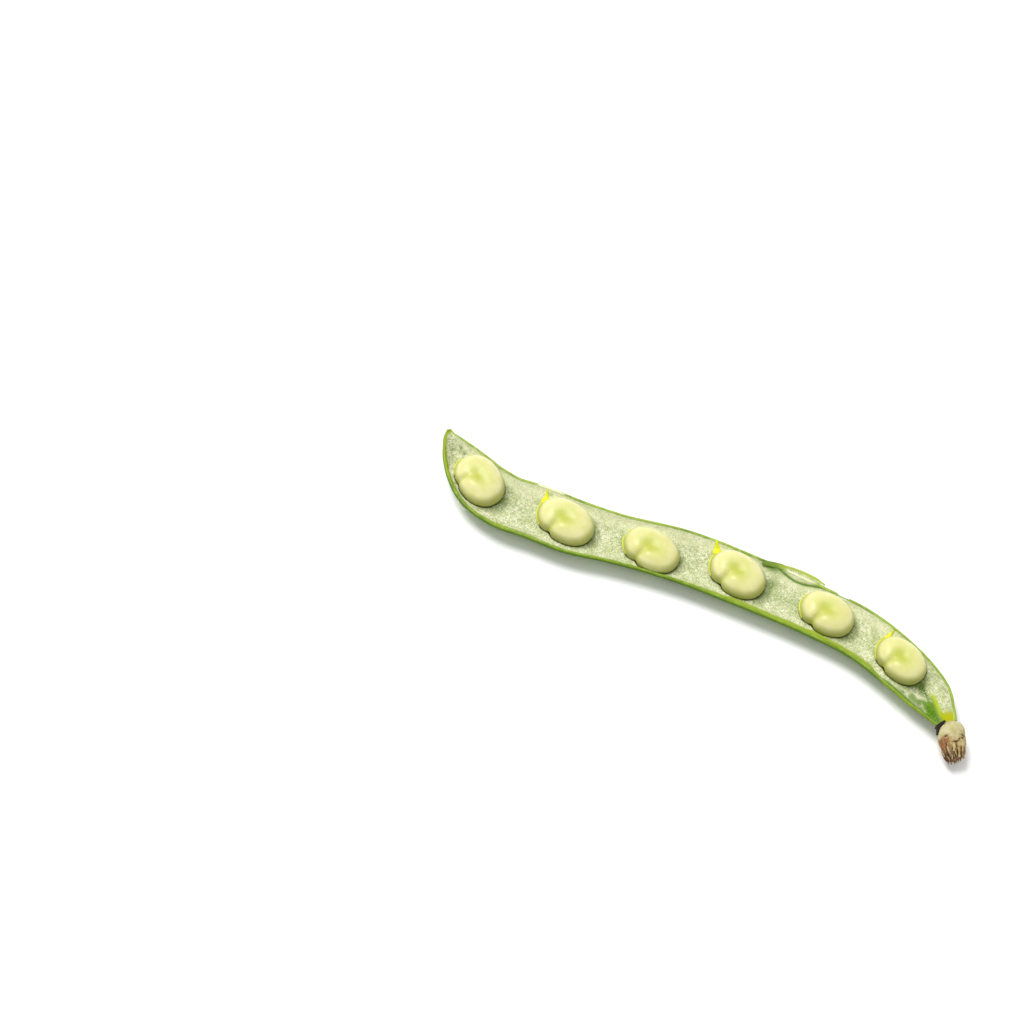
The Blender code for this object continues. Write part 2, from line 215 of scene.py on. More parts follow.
def fractal(u: Array, v: Array | float, seed: int, octaves: int = 3) -> Array:
    """Noise summed over octaves, each twice as fine and half as high."""
    heights = sum(noise(u * 2**k, v * 2**k, seed + k) * 0.5**k for k in range(octaves))
    return heights / (2.0 - 0.5 ** (octaves - 1))


def to_frame(points: Array) -> Array:
    """Put points into the frame, flattened where they meet the ground.

    Args:
        points: Places in millimetres, their heights from the plane of the rims.

    Returns:
        The same places in metres, in the frame's axes.
    """
    placed = np.array(points, dtype=float)
    placed[..., :2] -= FOOTPRINT_CENTRE
    placed[..., 2] = np.maximum(placed[..., 2] + RIM_HEIGHT, 0.0)
    return placed * MM


def deselect_all() -> None:
    """Leave nothing selected."""
    for thing in list(bpy.context.selected_objects):
        thing.select_set(False)


def start_places(thing: bpy.types.Object) -> Array:
    """Read where the vertices of a new primitive are.

    Args:
        thing: The primitive.

    Returns:
        Their places, one row each.
    """
    places = np.empty(len(thing.data.vertices) * 3, np.float32)
    thing.data.vertices.foreach_get("co", places)
    return places.reshape(-1, 3)


def shape(thing: bpy.types.Object, points: Array, zones: dict[Zone, Array]) -> None:
    """Move a primitive's vertices to their places, paint its measures and smooth its faces.

    Args:
        thing: The primitive.
        points: A place for each vertex, in millimetres.
        zones: Measures to paint, each with a value for each vertex.
    """
    mesh = thing.data
    mesh.vertices.foreach_set("co", to_frame(points).astype(np.float32).ravel())
    for zone, values in zones.items():
        layer = mesh.attributes.new(zone.value, "FLOAT", "POINT")
        layer.data.foreach_set("value", values.astype(np.float32))
    for face in mesh.polygons:
        face.use_smooth = True
    mesh.update()


def shape_grid(
    name: str, points: Array, zones: dict[Zone, Array | float], poles: bool = True
) -> bpy.types.Object:
    """Lay a grid primitive through rows of points, and close it where they meet.

    Args:
        name: The new object's name.
        points: Rows by columns by three, in millimetres.
        zones: Measures to paint, each rows by columns, rows by 1, or one value for all.
        poles: Whether a point-like row closes the sweep at both ends.

    Returns:
        The shaped object, its place in its mesh.
    """
    zones = {zone: np.broadcast_to(values, points.shape[:2]) for zone, values in zones.items()}
    if poles:
        first, last = (np.broadcast_to(row.mean(axis=0), row.shape)[None] for row in points[[0, -1]])
        points = np.concatenate([first, points, last])
        zones = {zone: np.concatenate([values[:1], values, values[-1:]]) for zone, values in zones.items()}
    rows, columns = points.shape[:2]
    deselect_all()
    bpy.ops.mesh.primitive_grid_add(x_subdivisions=columns - 1, y_subdivisions=rows - 1, size=2.0)
    thing = bpy.context.object
    thing.name = name
    start = start_places(thing)
    column = np.rint((start[:, 0] + 1.0) * 0.5 * (columns - 1)).astype(int)
    row = np.rint((start[:, 1] + 1.0) * 0.5 * (rows - 1)).astype(int)
    shape(thing, points[row, column], {zone: values[row, column] for zone, values in zones.items()})
    bpy.ops.object.mode_set(mode="EDIT")
    bpy.ops.mesh.select_all(action="SELECT")
    bpy.ops.mesh.remove_doubles(threshold=MERGE_DISTANCE)
    bpy.ops.mesh.normals_make_consistent(inside=False)
    bpy.ops.object.mode_set(mode="OBJECT")
    return thing


def tube_points(path: Array, wide: Array, thick: Array, flat: Array, sides: int) -> Array:
    """Rings of an oval tube along a path.

    Args:
        path: Middle points, in millimetres.
        wide: Half width at each point, along flat.
        thick: Half thickness at each point, square to flat and to the path.
        flat: The direction of the width at each point.
        sides: Points in a ring.

    Returns:
        Rings by points by three, the last point of a ring on its first.
    """
    heading = unit(np.gradient(path, axis=0))
    level = unit(flat - heading * np.sum(flat * heading, axis=1, keepdims=True))
    square = np.cross(heading, level)
    turn = full_turn(sides)
    across = wide[:, None, None] * np.cos(turn)[None, :, None] * level[:, None, :]
    upward = thick[:, None, None] * np.sin(turn)[None, :, None] * square[:, None, :]
    return path[:, None, :] + across + upward


def full_turn(sides: int) -> Array:
    """Angles once round, the last on the first.

    Args:
        sides: How many steps there are.

    Returns:
        The angles in radians, one more than steps.
    """
    turn = np.linspace(0.0, 2.0 * np.pi, sides + 1)
    turn[-1] = 0.0
    return turn


def join(name: str, things: list[bpy.types.Object]) -> bpy.types.Object:
    """Join loose pieces of one kind into a single object.

    Args:
        name: The joined object's name.
        things: The pieces.

    Returns:
        The joined object.
    """
    deselect_all()
    for thing in things:
        thing.select_set(True)
    bpy.context.view_layer.objects.active = things[0]
    bpy.ops.object.join()
    joined = bpy.context.object
    joined.name = name
    return joined


def dress(
    thing: bpy.types.Object, material: bpy.types.Material, nodes: Iterable[str] = ()
) -> None:
    """Give a finished piece its material and body, and hide the solids that it stands for.

    Args:
        thing: The piece.
        material: Its material.
        nodes: The frame's solids that it replaces.
    """
    thing.data.materials.clear()
    thing.data.materials.append(material)
    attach(thing, "root")
    if nodes:
        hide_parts(*nodes)
    log.info("%s: %d faces", thing.name, len(thing.data.polygons))


@dataclass(frozen=True)
class Mound:
    """A soft round rise or patch on a plane.

    Args:
        u: Its place along the plane's first axis.
        v: Its place along the second.
        stretch: How much longer it is along the first.
        radius: How far it reaches.
        height: Its height in the middle.
    """

    u: float
    v: float
    stretch: float
    radius: float
    height: float = 1.0

    def at(self, u: Array, v: Array) -> Array:
        """Its height at some places."""
        return self.height * bump(np.hypot((u - self.u) / self.stretch, v - self.v), self.radius)


@dataclass
class Course:
    """The pod's middle line, read at even steps.

    Args:
        count: How many stations to read.
        rows: Place along, place across and half width, from the beak to the neck.
    """

    count: int
    rows: tuple[tuple[float, float, float], ...] = (
        (-98.5, 0.8, 0.8),
        (-97.0, -0.9, 2.2),
        (-93.7, -3.1, 4.3),
        (-88.7, -5.9, 6.7),
        (-82.3, -8.9, 8.8),
        (-75.9, -11.2, 10.0),
        (-67.0, -11.9, 10.5),
        (-55.3, -9.4, 10.7),
        (-42.0, -7.1, 10.6),
        (-28.4, -3.1, 9.7),
        (-5.1, 4.1, 10.2),
        (18.0, 8.2, 10.1),
        (45.2, 11.6, 9.6),
        (56.8, 12.4, 9.5),
        (65.0, 11.8, 9.3),
        (73.6, 10.2, 9.1),
        (82.5, 7.9, 8.5),
        (90.1, 5.0, 7.3),
        (94.3, 2.6, 5.5),
        (97.0, 0.9, 4.3),
        (98.4, -0.2, 3.6),
    )
    along: Array = field(init=False)
    middle: Array = field(init=False)
    half_width: Array = field(init=False)
    heading: Array = field(init=False)
    side: Array = field(init=False)

    def __post_init__(self) -> None:
        """Read the line's places, half widths and directions."""
        rows = np.array(self.rows)
        chord = np.concatenate([[0.0], np.cumsum(np.hypot(*np.diff(rows[:, :2], axis=0).T))])
        self.along = np.linspace(0.0, chord[-1], self.count)
        read = read_curve(rows, chord, self.along)
        self.middle = read[:, :2]
        self.half_width = read[:, 2]
        self.heading = unit(np.gradient(self.middle, self.along, axis=0))
        self.side = np.stack([-self.heading[:, 1], self.heading[:, 0]], axis=1)

    def seam_x(self, side: float) -> Array:
        """Where the far seam (side 1) or the near one (side -1) is along X, at each station."""
        return self.middle[:, 0] + side * self.side[:, 0] * self.half_width

    def nearest(self, point: Array) -> tuple[int, float]:
        """Find the station closest to a plan point.

        Args:
            point: The plan point.

        Returns:
            The station's number, and how far to the far side the point lies there.
        """
        away = point - self.middle
        k = int(np.argmin(np.hypot(*away.T)))
        return k, float(away[k] @ self.side[k])


@dataclass
class Bean:
    """One loose seed: a kidney with a crease that runs in from its notch and fades at the middle.

    Args:
        number: Its place in the row, from the beak.
        along: Its middle along X.
        across: Its middle along Y.
        turn: Its turn in degrees.
        length: Its longer axis.
        width: Its shorter axis.
        foot: Angle and distance from its outline at which its seed stalk starts.
        notch_depth: How far the notch goes in, as a share of the outline.
    """

    number: int
    along: float
    across: float
    turn: float
    length: float
    width: float
    foot: Pair
    notch_depth: float
    thickness: float = 10.8
    level: float = -0.2
    outline_power: float = 2.2
    notch_angle: float = -113.0
    notch_spread: float = 13.0
    crease_steps: tuple[Pair, ...] = ((0.6, 1.2), (1.1, 2.8), (2.2, 4.6))
    crease_knots: tuple[float, ...] = (0.0, 0.33, 0.66, 1.0)
    crease_shares: tuple[float, ...] = (1.25, 0.9, 0.45, 0.15)
    crease_widths: tuple[float, ...] = (0.8, 1.1, 1.7, 2.6)
    crease_depth: float = 1.25
    dimple: Mound = Mound(0.2, -0.2, 1.6, 2.7, 0.8)
    lobe: Mound = Mound(-6.4, -0.2, 1.0, 3.8, 0.16)
    snout: Mound = Mound(1.6, -4.5, 1.4, 2.2, 0.36)
    tint: Mound = Mound(0.2, -0.4, 1.5, 3.8, 0.85)
    ripple: float = 0.05
    rounds: int = 96
    sides: int = 144

    def local(self, x: Array, y: Array) -> tuple[Array, Array]:
        """Turn plan points into the bean's own axes.

        Args:
            x: Plan positions along.
            y: Plan positions across.

        Returns:
            Positions along and across the bean.
        """
        turn = np.radians(self.turn)
        dx, dy = x - self.along, y - self.across
        return dx * np.cos(turn) + dy * np.sin(turn), dy * np.cos(turn) - dx * np.sin(turn)

    def place(self, u: Array, v: Array) -> tuple[Array, Array]:
        """Turn the bean's own axes into plan points.

        Args:
            u: Positions along the bean.
            v: Positions across the bean.

        Returns:
            Plan positions along and across.
        """
        turn = np.radians(self.turn)
        return (
            self.along + u * np.cos(turn) - v * np.sin(turn),
            self.across + u * np.sin(turn) + v * np.cos(turn),
        )

    def outline(self, angle: Array) -> Array:
        """Distance from the middle to the kidney outline.

        Args:
            angle: Angles in degrees from the bean's longer axis.

        Returns:
            The distance at each angle.
        """
        t = np.radians(angle)
        along = np.abs(2.0 * np.cos(t) / self.length) ** self.outline_power
        across = np.abs(2.0 * np.sin(t) / self.width) ** self.outline_power
        reach = (along + across) ** (-1.0 / self.outline_power)
        notch = self.notch_depth * bump(angle_apart(angle, self.notch_angle), self.notch_spread)
        return reach * (1.0 - notch)

    def around(self, x: Array, y: Array) -> tuple[Array, Array, Array]:
        """Measure plan points about the bean's middle.

        Args:
            x: Plan positions along.
            y: Plan positions across.

        Returns:
            Their angles in degrees, their distances, and the outline's distances at those angles.
        """
        u, v = self.local(x, y)
        angle = np.degrees(np.arctan2(v, u))
        return angle, np.hypot(u, v), self.outline(angle)

    def crease(self) -> tuple[Array, Array, Array]:
        """The crease from the notch inwards.

        Returns:
            Its points in the bean's axes, and its depth and width at each.
        """
        notch = np.radians(self.notch_angle)
        edge = float(self.outline(np.array(self.notch_angle)))
        start = edge * np.array([np.cos(notch), np.sin(notch)])
        knots = np.array([1.08 * start, *(start + step for step in np.array(self.crease_steps))])
        share = np.linspace(0.0, 1.0, 41)
        line = smoothed(read_line(knots, np.linspace(0.0, 1.0, len(knots)), share), 1)
        depth = np.interp(share, self.crease_knots, self.crease_shares) * self.crease_depth
        return line, depth, np.interp(share, self.crease_knots, self.crease_widths)

    def surface(self, directions: Array) -> tuple[Array, dict[Zone, Array]]:
        """Move unit directions out to the bean's skin.

        Args:
            directions: Unit vectors, one row each.

        Returns:
            The points in millimetres, and how deep in a hollow and how near the side each lies.
        """
        angle = np.degrees(np.arctan2(directions[:, 1] * self.width, directions[:, 0] * self.length))
        level = np.hypot(directions[:, 0], directions[:, 1])
        reach = self.outline(angle) * level**0.9
        u, v = reach * np.cos(np.radians(angle)), reach * np.sin(np.radians(angle))
        line, depth, width = self.crease()
        off = np.hypot(u[:, None] - line[:, 0], v[:, None] - line[:, 1])
        hollow = np.max(depth * bump(off, width), axis=1)
        ripple = self.ripple * fractal(u / 3.1 + 7.0 * self.number, v / 3.1, 31)
        sunk = hollow + self.dimple.at(u, v) - self.lobe.at(u, v) - self.snout.at(u, v) - ripple
        share = np.abs(directions[:, 2])
        height = np.minimum(0.5 * self.thickness * share**0.9 - sunk * share**0.5, 0.5 * self.thickness)
        points = np.column_stack([*self.place(u, v), np.sign(directions[:, 2]) * height + self.level])
        # The flank tint darkens the bean towards its edge all round: painted shade there, with greener flesh
        # as well.
        zones = {
            Zone.HOLLOW: np.clip(0.4 * hollow / self.crease_depth + self.tint.at(u, v), 0.0, 1.0),
            Zone.FLANK: smoothstep(0.8, 1.0, level),
        }
        return points, zones

    def build(self, material: bpy.types.Material) -> None:
        """Shape a sphere into the bean and dress it.

        Args:
            material: Fresh seed skin.
        """
        deselect_all()
        bpy.ops.mesh.primitive_uv_sphere_add(segments=self.sides, ring_count=self.rounds, radius=1.0)
        thing = bpy.context.object
        thing.name = f"seed_{self.number}"
        shape(thing, *self.surface(unit(start_places(thing).astype(float))))
        dress(thing, material, [f"bean_{self.number}"])


@dataclass
class PodHalf:
    """The opened half: skin, two seam rims and the felted lining with a nest for each bean."""

    course: Course
    beans: tuple[Bean, ...]
    full_half_width: float = 10.7
    wall_depth: float = 7.6
    bulge: float = 1.1
    bulge_length: float = 10.0
    skin_roundness: float = 1.5
    skin_dents: float = 0.1
    seam_fall: float = 1.1
    seam_ridge: float = 0.2
    rim_width: float = 1.0
    rim_break: Pair = (45.5, 49.5)
    rim_break_depth: float = 0.6
    # From the felt to the skin: shares of the rim inwards and of the ridge outwards, set back, sunk, share
    # of the seam's fall, and how far a torn rim draws in and sinks.
    rim_points: tuple[tuple[float, ...], ...] = (
        (0.98, 0.0, 0.0, 0.18, 0.0, 0.0, 0.5),
        (0.75, 0.0, 0.0, 0.02, 0.0, 0.0, 1.0),
        (0.35, 0.0, 0.0, 0.0, 0.0, 0.1, 1.0),
        (0.0, 1.0, 0.05, 0.0, 0.45, 0.45, 1.0),
        (0.0, 0.4, 0.0, 0.0, 0.85, 0.5, 0.6),
        (0.0, 0.0, 0.08, 0.0, 1.0, 0.3, 0.2),
    )
    fray: float = 0.1
    near_wave: float = 0.096
    far_wave: float = 0.1
    lining_depth: float = 3.4
    groove_depth: float = 2.2
    groove_from: Pair = (84.0, 91.0)
    ridge_line: tuple[Pair, ...] = ((88.0, 1.9), (90.0, 1.6), (93.0, 0.9), (95.0, 0.3), (97.5, -0.3))
    ridge_from: Pair = (87.5, 90.5)
    ridge_height: float = 0.8
    lip_from: Pair = (93.0, 97.0)
    nest_gap: float = 0.25
    nest_blend: float = 0.7
    felt_relief: float = 0.12
    collar_height: float = 1.3
    # Damp smudges: place along and across, radius and darkness.
    smudges: tuple[tuple[float, float, float, float], ...] = (
        (-68.2, -6.6, 2.2, 0.7),
        (-55.1, -0.6, 0.6, 1.5),
        (-23.0, 8.3, 0.7, 1.2),
        (24.0, 13.3, 2.6, 0.9),
        (84.7, 8.0, 2.3, 1.25),
    )
    beak_felt: Pair = (-88.0, -95.0)
    beak_specks: Pair = (-85.0, -90.0)
    # The bare green pocket's far edge, and where the pocket begins and is whole.
    pocket: tuple[Pair, ...] = (
        (74.0, -8.6),
        (77.0, -7.0),
        (84.4, -3.0),
        (89.2, -0.7),
        (91.5, 0.9),
        (93.5, 0.5),
        (97.5, -0.6),
    )
    pocket_from: Pair = (74.0, 79.0)
    pocket_whole: Pair = (86.0, 91.0)
    # Where the near rim's inner side turns bare beside the pocket, where the sill ends, where that side is
    # bare at the beak, and where the plug begins.
    bare_edge: Pair = (70.0, 76.0)
    sill_ends: Pair = (66.0, 78.0)
    beak_bare: Pair = (-84.0, -89.0)
    plug_from: Pair = (87.2, 92.6)
    # The slit that the peeled strand leaves in the lining's far side.
    split_at: float = 31.5
    split_length: float = 7.5
    split_depth: float = 2.0
    split_from: Pair = (16.0, 21.0)
    split_to: Pair = (46.5, 43.0)
    torn_spot: Mound = Mound(21.5, 17.7, 2.6, 1.4)
    # Where the far rim darkens beside the torn spot, and where membrane veils it: each beginning and end.
    torn_wall: tuple[Pair, Pair] = ((16.5, 18.5), (27.0, 23.0))
    veils: tuple[tuple[Pair, Pair], ...] = (((-62.0, -60.0), (-50.0, -52.0)), ((25.0, 28.0), (40.0, 35.0)))
    skin_columns: int = 58
    rim_columns: int = 10
    lining_columns: int = 104

    def rim_at(self, half_width: Array) -> Array:
        """Width of the green rim at each station."""
        return np.minimum(self.rim_width, 0.42 * half_width)

    def skin_depth(self, x: Array, half_width: Array) -> Array:
        """Depth of the underside below the rims, on the middle line.

        Args:
            x: Plan positions along.
            half_width: Half the pod's width there.

        Returns:
            The depths.
        """
        share = 1.0 - (1.0 - np.minimum(1.0, half_width / self.full_half_width)) ** 2
        swell = sum(bump(x - bean.along, self.bulge_length) for bean in self.beans)
        return self.wall_depth * share**1.2 + self.bulge * swell

    def ridge_at(self, x: Array, across: Array) -> tuple[Array, Array]:
        """How far across the ridge at the neck a place lies, and how high the ridge is there."""
        crown = across - np.interp(x, *np.array(self.ridge_line).T)
        return crown, bump(crown, 0.8) * smoothstep(*self.ridge_from, x)

    def nests(self, x: Array, y: Array) -> tuple[Array, Array]:
        """Lay out a nest for each bean.

        Args:
            x: Plan positions along.
            y: Plan positions across.

        Returns:
            Height of the nests' floors, 0 where there is none, and how swollen the felt is round them.
        """
        height, collar = np.zeros(np.shape(x)), np.zeros(np.shape(x))
        for bean in self.beans:
            _, reach, edge = bean.around(x, y)
            share = np.clip(reach / (edge + self.nest_gap), 0.0, 1.0)
            bowl = (1.0 - share ** (2.0 / 0.9)) ** 0.45
            floor = bean.level - (0.5 * bean.thickness + self.nest_gap) * bowl
            height = np.minimum(height, np.where(share < 1.0, floor, 0.0))
            collar = np.maximum(collar, bump(np.maximum(reach - edge, 0.0), 1.5))
        return height, collar

    def stains(self, x: Array, y: Array) -> tuple[Array, Array]:
        """Stain the felt in the smudges and beside the beans, and paint shade and a contact shadow beside
        the beans.

        Args:
            x: Plan positions along.
            y: Plan positions across.

        Returns:
            How damp the felt is, with painted shade, and how bruised, with painted contact shadow.
        """
        damp_and_shade, contact_shadow_and_bruise = np.zeros(np.shape(x)), np.zeros(np.shape(x))
        streaks = 0.75 + 0.9 * fractal(x / 1.2, y / 2.4, 71)
        # Painted shade: beside each bean the felt darkens on the side turned from the light, over damp
        # streaks there.
        for bean in self.beans:
            angle, reach, edge = bean.around(x, y)
            away = np.maximum(reach - edge, 0.0)
            lean = bump(angle_apart(angle, 12.0), 42.0)
            damp_and_shade = np.maximum(damp_and_shade, (0.2 + 0.7 * lean) * streaks * bump(away, 0.9 + 1.6 * lean))
            # Painted contact shadow: a thin dark line hugs each bean's lower right edge, where it sits in
            # the felt.
            low = 0.5 + 0.5 * np.cos(np.radians(angle_apart(angle, -50.0)))
            contact_shadow_and_bruise = np.maximum(contact_shadow_and_bruise, (0.1 + 0.6 * low) * bump(away, 0.25 + 0.3 * low))
        for along, across, radius, dark in self.smudges:
            away = np.hypot(x - along, y - across)
            damp_and_shade = np.maximum(damp_and_shade, 1.3 * dark * streaks * bump(away, radius))
            bruise = (dark - 0.6) * np.clip(streaks, 0.0, 1.2) * bump(away, 0.8 * radius)
            contact_shadow_and_bruise = np.maximum(contact_shadow_and_bruise, bruise)
        return damp_and_shade, contact_shadow_and_bruise

    def lining_height(self, x: Array, y: Array, across: Array, half_width: Array) -> Array:
        """Height of the lining.

        Args:
            x: Plan positions along.
            y: Plan positions across.
            across: Distance from the middle line.
            half_width: Half the pod's width there.

        Returns:
            The heights, all a little below the rims.
        """
        inner = half_width - self.rim_at(half_width)
        share = np.clip(np.abs(across) / inner, 0.0, 1.0)
        fullness = smoothstep(1.0, 7.5, half_width)
        height = -fullness * (0.25 + self.lining_depth * (1.0 - share**2.3) ** 0.85)
        lane = bump(across + 0.5 * inner, 0.22 * inner + 0.4)
        height = height - self.groove_depth * smoothstep(*self.groove_from, x) * lane * fullness
        lip = smoothstep(*self.lip_from, x - 0.7 * y) * smoothstep(-0.25, 0.25, across / inner)
        _, ridge = self.ridge_at(x, across)
        height = height * (1.0 - 0.75 * lip) + self.ridge_height * ridge * (1.0 - lip)
        floor, collar = self.nests(x, y)
        height = height + self.collar_height * collar * smoothstep(-0.8, -2.8, height)
        height = soft_min(height, floor, self.nest_blend)
        relief = fractal(x / 0.9, y / 1.5, 11) * self.felt_relief * smoothstep(1.0, 0.86, share)
        return np.minimum(height + relief * fullness, -0.02)

    def pocket_green(self, x: Array, y: Array, across: Array) -> Array:
        """How bare and green the pocket at the neck is.

        Args:
            x: Plan positions along.
            y: Plan positions across.
            across: Distance from the middle line.

        Returns:
            The share of green.
        """
        edge = across - np.interp(x, *np.array(self.pocket).T) + 0.9 * fractal(x / 1.3, y / 1.3, 73)
        bare = 0.75 * smoothstep(*self.pocket_from, x) + 0.25 * smoothstep(*self.pocket_whole, x)
        mottles = smoothstep(-0.15, 0.35, fractal(x / 1.5, y / 1.5, 74, 4))
        _, ridge = self.ridge_at(x, across)
        bare = bare * smoothstep(0.35, -0.45, edge)
        return bare * (1.0 - (0.55 * smoothstep(92.5, 89.0, x) + 0.3) * mottles) * (1.0 - 0.8 * ridge)

    def felt_zones(self, x: Array, y: Array, across: Array, inner: Array) -> dict[Zone, Array]:
        """Looks of the lining.

        Args:
            x: Plan positions along.
            y: Plan positions across.
            across: Distance from the middle line.
            inner: Half the lining's width there.

        Returns:
            The measures to paint.
        """
        near, far = inner + across, inner - across
        crown, ridge = self.ridge_at(x, across)
        damp_and_shade, contact_shadow_and_bruise = self.stains(x, y)
        slit = far + self.rim_width - 0.35 - self.split_depth * bump(x - self.split_at, self.split_length)
        peeled = smoothstep(*self.split_from, x) * smoothstep(*self.split_to, x)
        patches = 0.5 + 0.9 * fractal(x / 5.0, y / 5.0, 5)
        # Painted shade: a darker band, in patches, down the lining's middle where it lies lowest.
        damp_and_shade = np.clip(0.62 * bump(across / inner - 0.08, 0.5) * patches + damp_and_shade, 0.0, 1.3)
        damp_and_shade = damp_and_shade + 0.25 * smoothstep(*self.beak_felt, x) * patches
        damp_and_shade = damp_and_shade * (1.0 - 0.9 * peeled * smoothstep(0.3, -0.3, slit))
        # Specks at the beak, and a bruised streak behind the last bean.
        specks = smoothstep(*self.beak_specks, x) * smoothstep(0.0, 0.5, fractal(x / 1.4, y / 1.4, 77, 2))
        streak = bump(across - np.interp(x, (84.0, 92.0), (0.7, 0.0)), 1.1) * smoothstep(82.5, 85.0, x)
        streak = streak * smoothstep(94.5, 91.0, x) * smoothstep(-1.0, 0.1, fractal(x / 0.9, y / 0.9, 78, 2))
        # Green lines: the pocket's rim and a worn patch on the near side, the slit and a torn spot on the
        # far side.
        patch = 0.75 * bump(near - 0.5 - 0.05 * (x + 55.0), 0.4) * bump(x + 55.0, 4.5)
        line = bump(near, 0.55 + 0.75 * bump(x - 80.5, 6.0)) * smoothstep(*self.bare_edge, x)
        for stroke in (patch, bump(slit, 0.4) * peeled, self.torn_spot.at(x, y)):
            line = np.maximum(line, stroke)
        # The sill is the felt's green edge along the near rim and across the neck.
        reach = 0.45 + 1.4 * smoothstep(-5.0, 25.0, x) + 0.7 * bump(x + 60.0, 9.0)
        reach = reach - 3.0 * smoothstep(*self.sill_ends, x) + 0.45 * fractal(x / 2.2, y / 2.2, 76, 4)
        beyond_neck = 0.786 * (x - 98.4) - 0.618 * (y + 0.2)
        neck_sill = smoothstep(-1.5, -0.9, beyond_neck) * smoothstep(0.2, -0.4, crown)
        plug = x - 1.5 * y + 1.5 * fractal(x / 1.2, y / 1.2, 79)
        share = np.clip(np.abs(across) / inner, 0.0, 1.0)
        edge = bump(share - 1.0, 0.05 + 0.03 * fractal(x / 1.2, y / 1.2, 75))
        # Painted light: the felt up the far wall, which turns from the light, is painted paler to lift its
        # shade.
        edge = np.maximum(edge, 0.6 * smoothstep(0.4, 0.8, across / inner) * smoothstep(88.0, 80.0, x))
        return {
            Zone.DAMP: damp_and_shade,
            Zone.CONTACT: np.clip(contact_shadow_and_bruise + 0.5 * specks + 0.9 * streak, 0.0, 1.0),
            Zone.BARE: np.maximum(self.pocket_green(x, y, across), line),
            Zone.RIDGE: ridge,
            Zone.PLUG: smoothstep(*self.plug_from, plug) * smoothstep(-0.5, 0.3, crown),
            Zone.SILL: np.maximum(smoothstep(0.3, -0.3, near - reach) * (1.0 - patch), neck_sill),
            Zone.EDGE: edge * (1.0 - line),
        }

    def rim_section(self, fall: Array, broken: Array, seed: int) -> tuple[Array, Array]:
        """The rounded, frayed rim from the felt over its crest to the skin.

        Args:
            fall: How far the seam's edge drops.
            broken: 1 where the rim has torn away.
            seed: Which fraying to read.

        Returns:
            Distance across and height, stations by points.
        """
        half_width = self.course.half_width[:, None]
        ridge = self.seam_ridge * np.minimum(1.0, half_width / 6.0)
        inwards, outwards, back, sunk, falls, torn_in, torn_down = np.array(self.rim_points).T
        across = half_width - self.rim_at(half_width) * inwards + ridge * outwards - back
        across = draw_through(across - broken * self.rim_width * torn_in, self.rim_columns)
        height = -sunk - fall * falls - broken * self.rim_break_depth * torn_down
        frayed = self.fray * fractal(self.course.along[:, None] / 0.8, across * 2.0, seed)
        across = across + frayed * np.linspace(1.0, 0.0, self.rim_columns) - 0.05
        return across, draw_through(height, self.rim_columns)

    def rings(self) -> tuple[Array, dict[Zone, Array]]:
        """Lay out the whole sweep.

        Returns:
            Its points, rings by columns by three, and the measures painted on them.
        """
        course = self.course
        half_width, along = course.half_width[:, None], course.along[:, None]
        depth = self.skin_depth(course.middle[:, :1], half_width)
        fall = np.minimum(self.seam_fall, 0.35 * depth)
        start, end = self.rim_break
        far_x = course.seam_x(1.0)[:, None]
        broken = smoothstep(start - 0.6, start + 0.6, far_x) * smoothstep(end + 0.1, end - 0.4, far_x)
        near_across, near_height = self.rim_section(fall, 0.0 * broken, 23)
        far_across, far_height = self.rim_section(fall, broken, 24)
        near_height = near_height + self.near_wave * (fractal(along / 5.0, 0.5, 21) - 1.0)
        far_height = far_height + self.far_wave * (fractal(along / 3.0, 9.5, 22) - 1.0)
        turn = np.linspace(np.pi, 0.0, self.skin_columns + 2)[1:-1]
        skin_across = (half_width - 0.1) * np.cos(turn)
        skin_height = -fall - (depth - fall) * np.sin(turn) ** self.skin_roundness
        inner = half_width - self.rim_at(half_width)
        lining_across = inner * np.linspace(1.0, -1.0, self.lining_columns)
        x = course.middle[:, :1] + course.side[:, :1] * lining_across
        y = course.middle[:, 1:] + course.side[:, 1:] * lining_across
        lining_height = self.lining_height(x, y, lining_across, half_width)
        across = np.concatenate([-near_across, skin_across, far_across[:, ::-1], lining_across], axis=1)
        height = np.concatenate([near_height, skin_height, far_height[:, ::-1], lining_height], axis=1)
        outside = np.zeros(across.shape[1])
        outside[self.rim_columns : self.rim_columns + self.skin_columns] = np.sin(turn)
        height = height - self.skin_dents * (fractal(along / 6.0, across / 4.0, 27) - 1.0) * outside
        plan = course.middle[:, None, :] + across[:, :, None] * course.side[:, None, :]
        points = np.concatenate([plan, height[:, :, None]], axis=2)
        zones = self.paint(across, broken, self.felt_zones(x, y, lining_across, inner))
        zones = {zone: np.concatenate([values, values[:, :1]], axis=1) for zone, values in zones.items()}
        return np.concatenate([points, points[:, :1]], axis=1), zones

    def seam_profile(self, crest: Array, row: float, seed: int) -> Array:
        """How green the rim is across its crest, with a flaky edge towards the felt."""
        flakes = 0.22 * (1.0 + fractal(self.course.along[:, None] / 2.2, row, seed, 4))
        return smoothstep(0.0, 0.25, crest - flakes) * smoothstep(1.15, 0.75, crest)

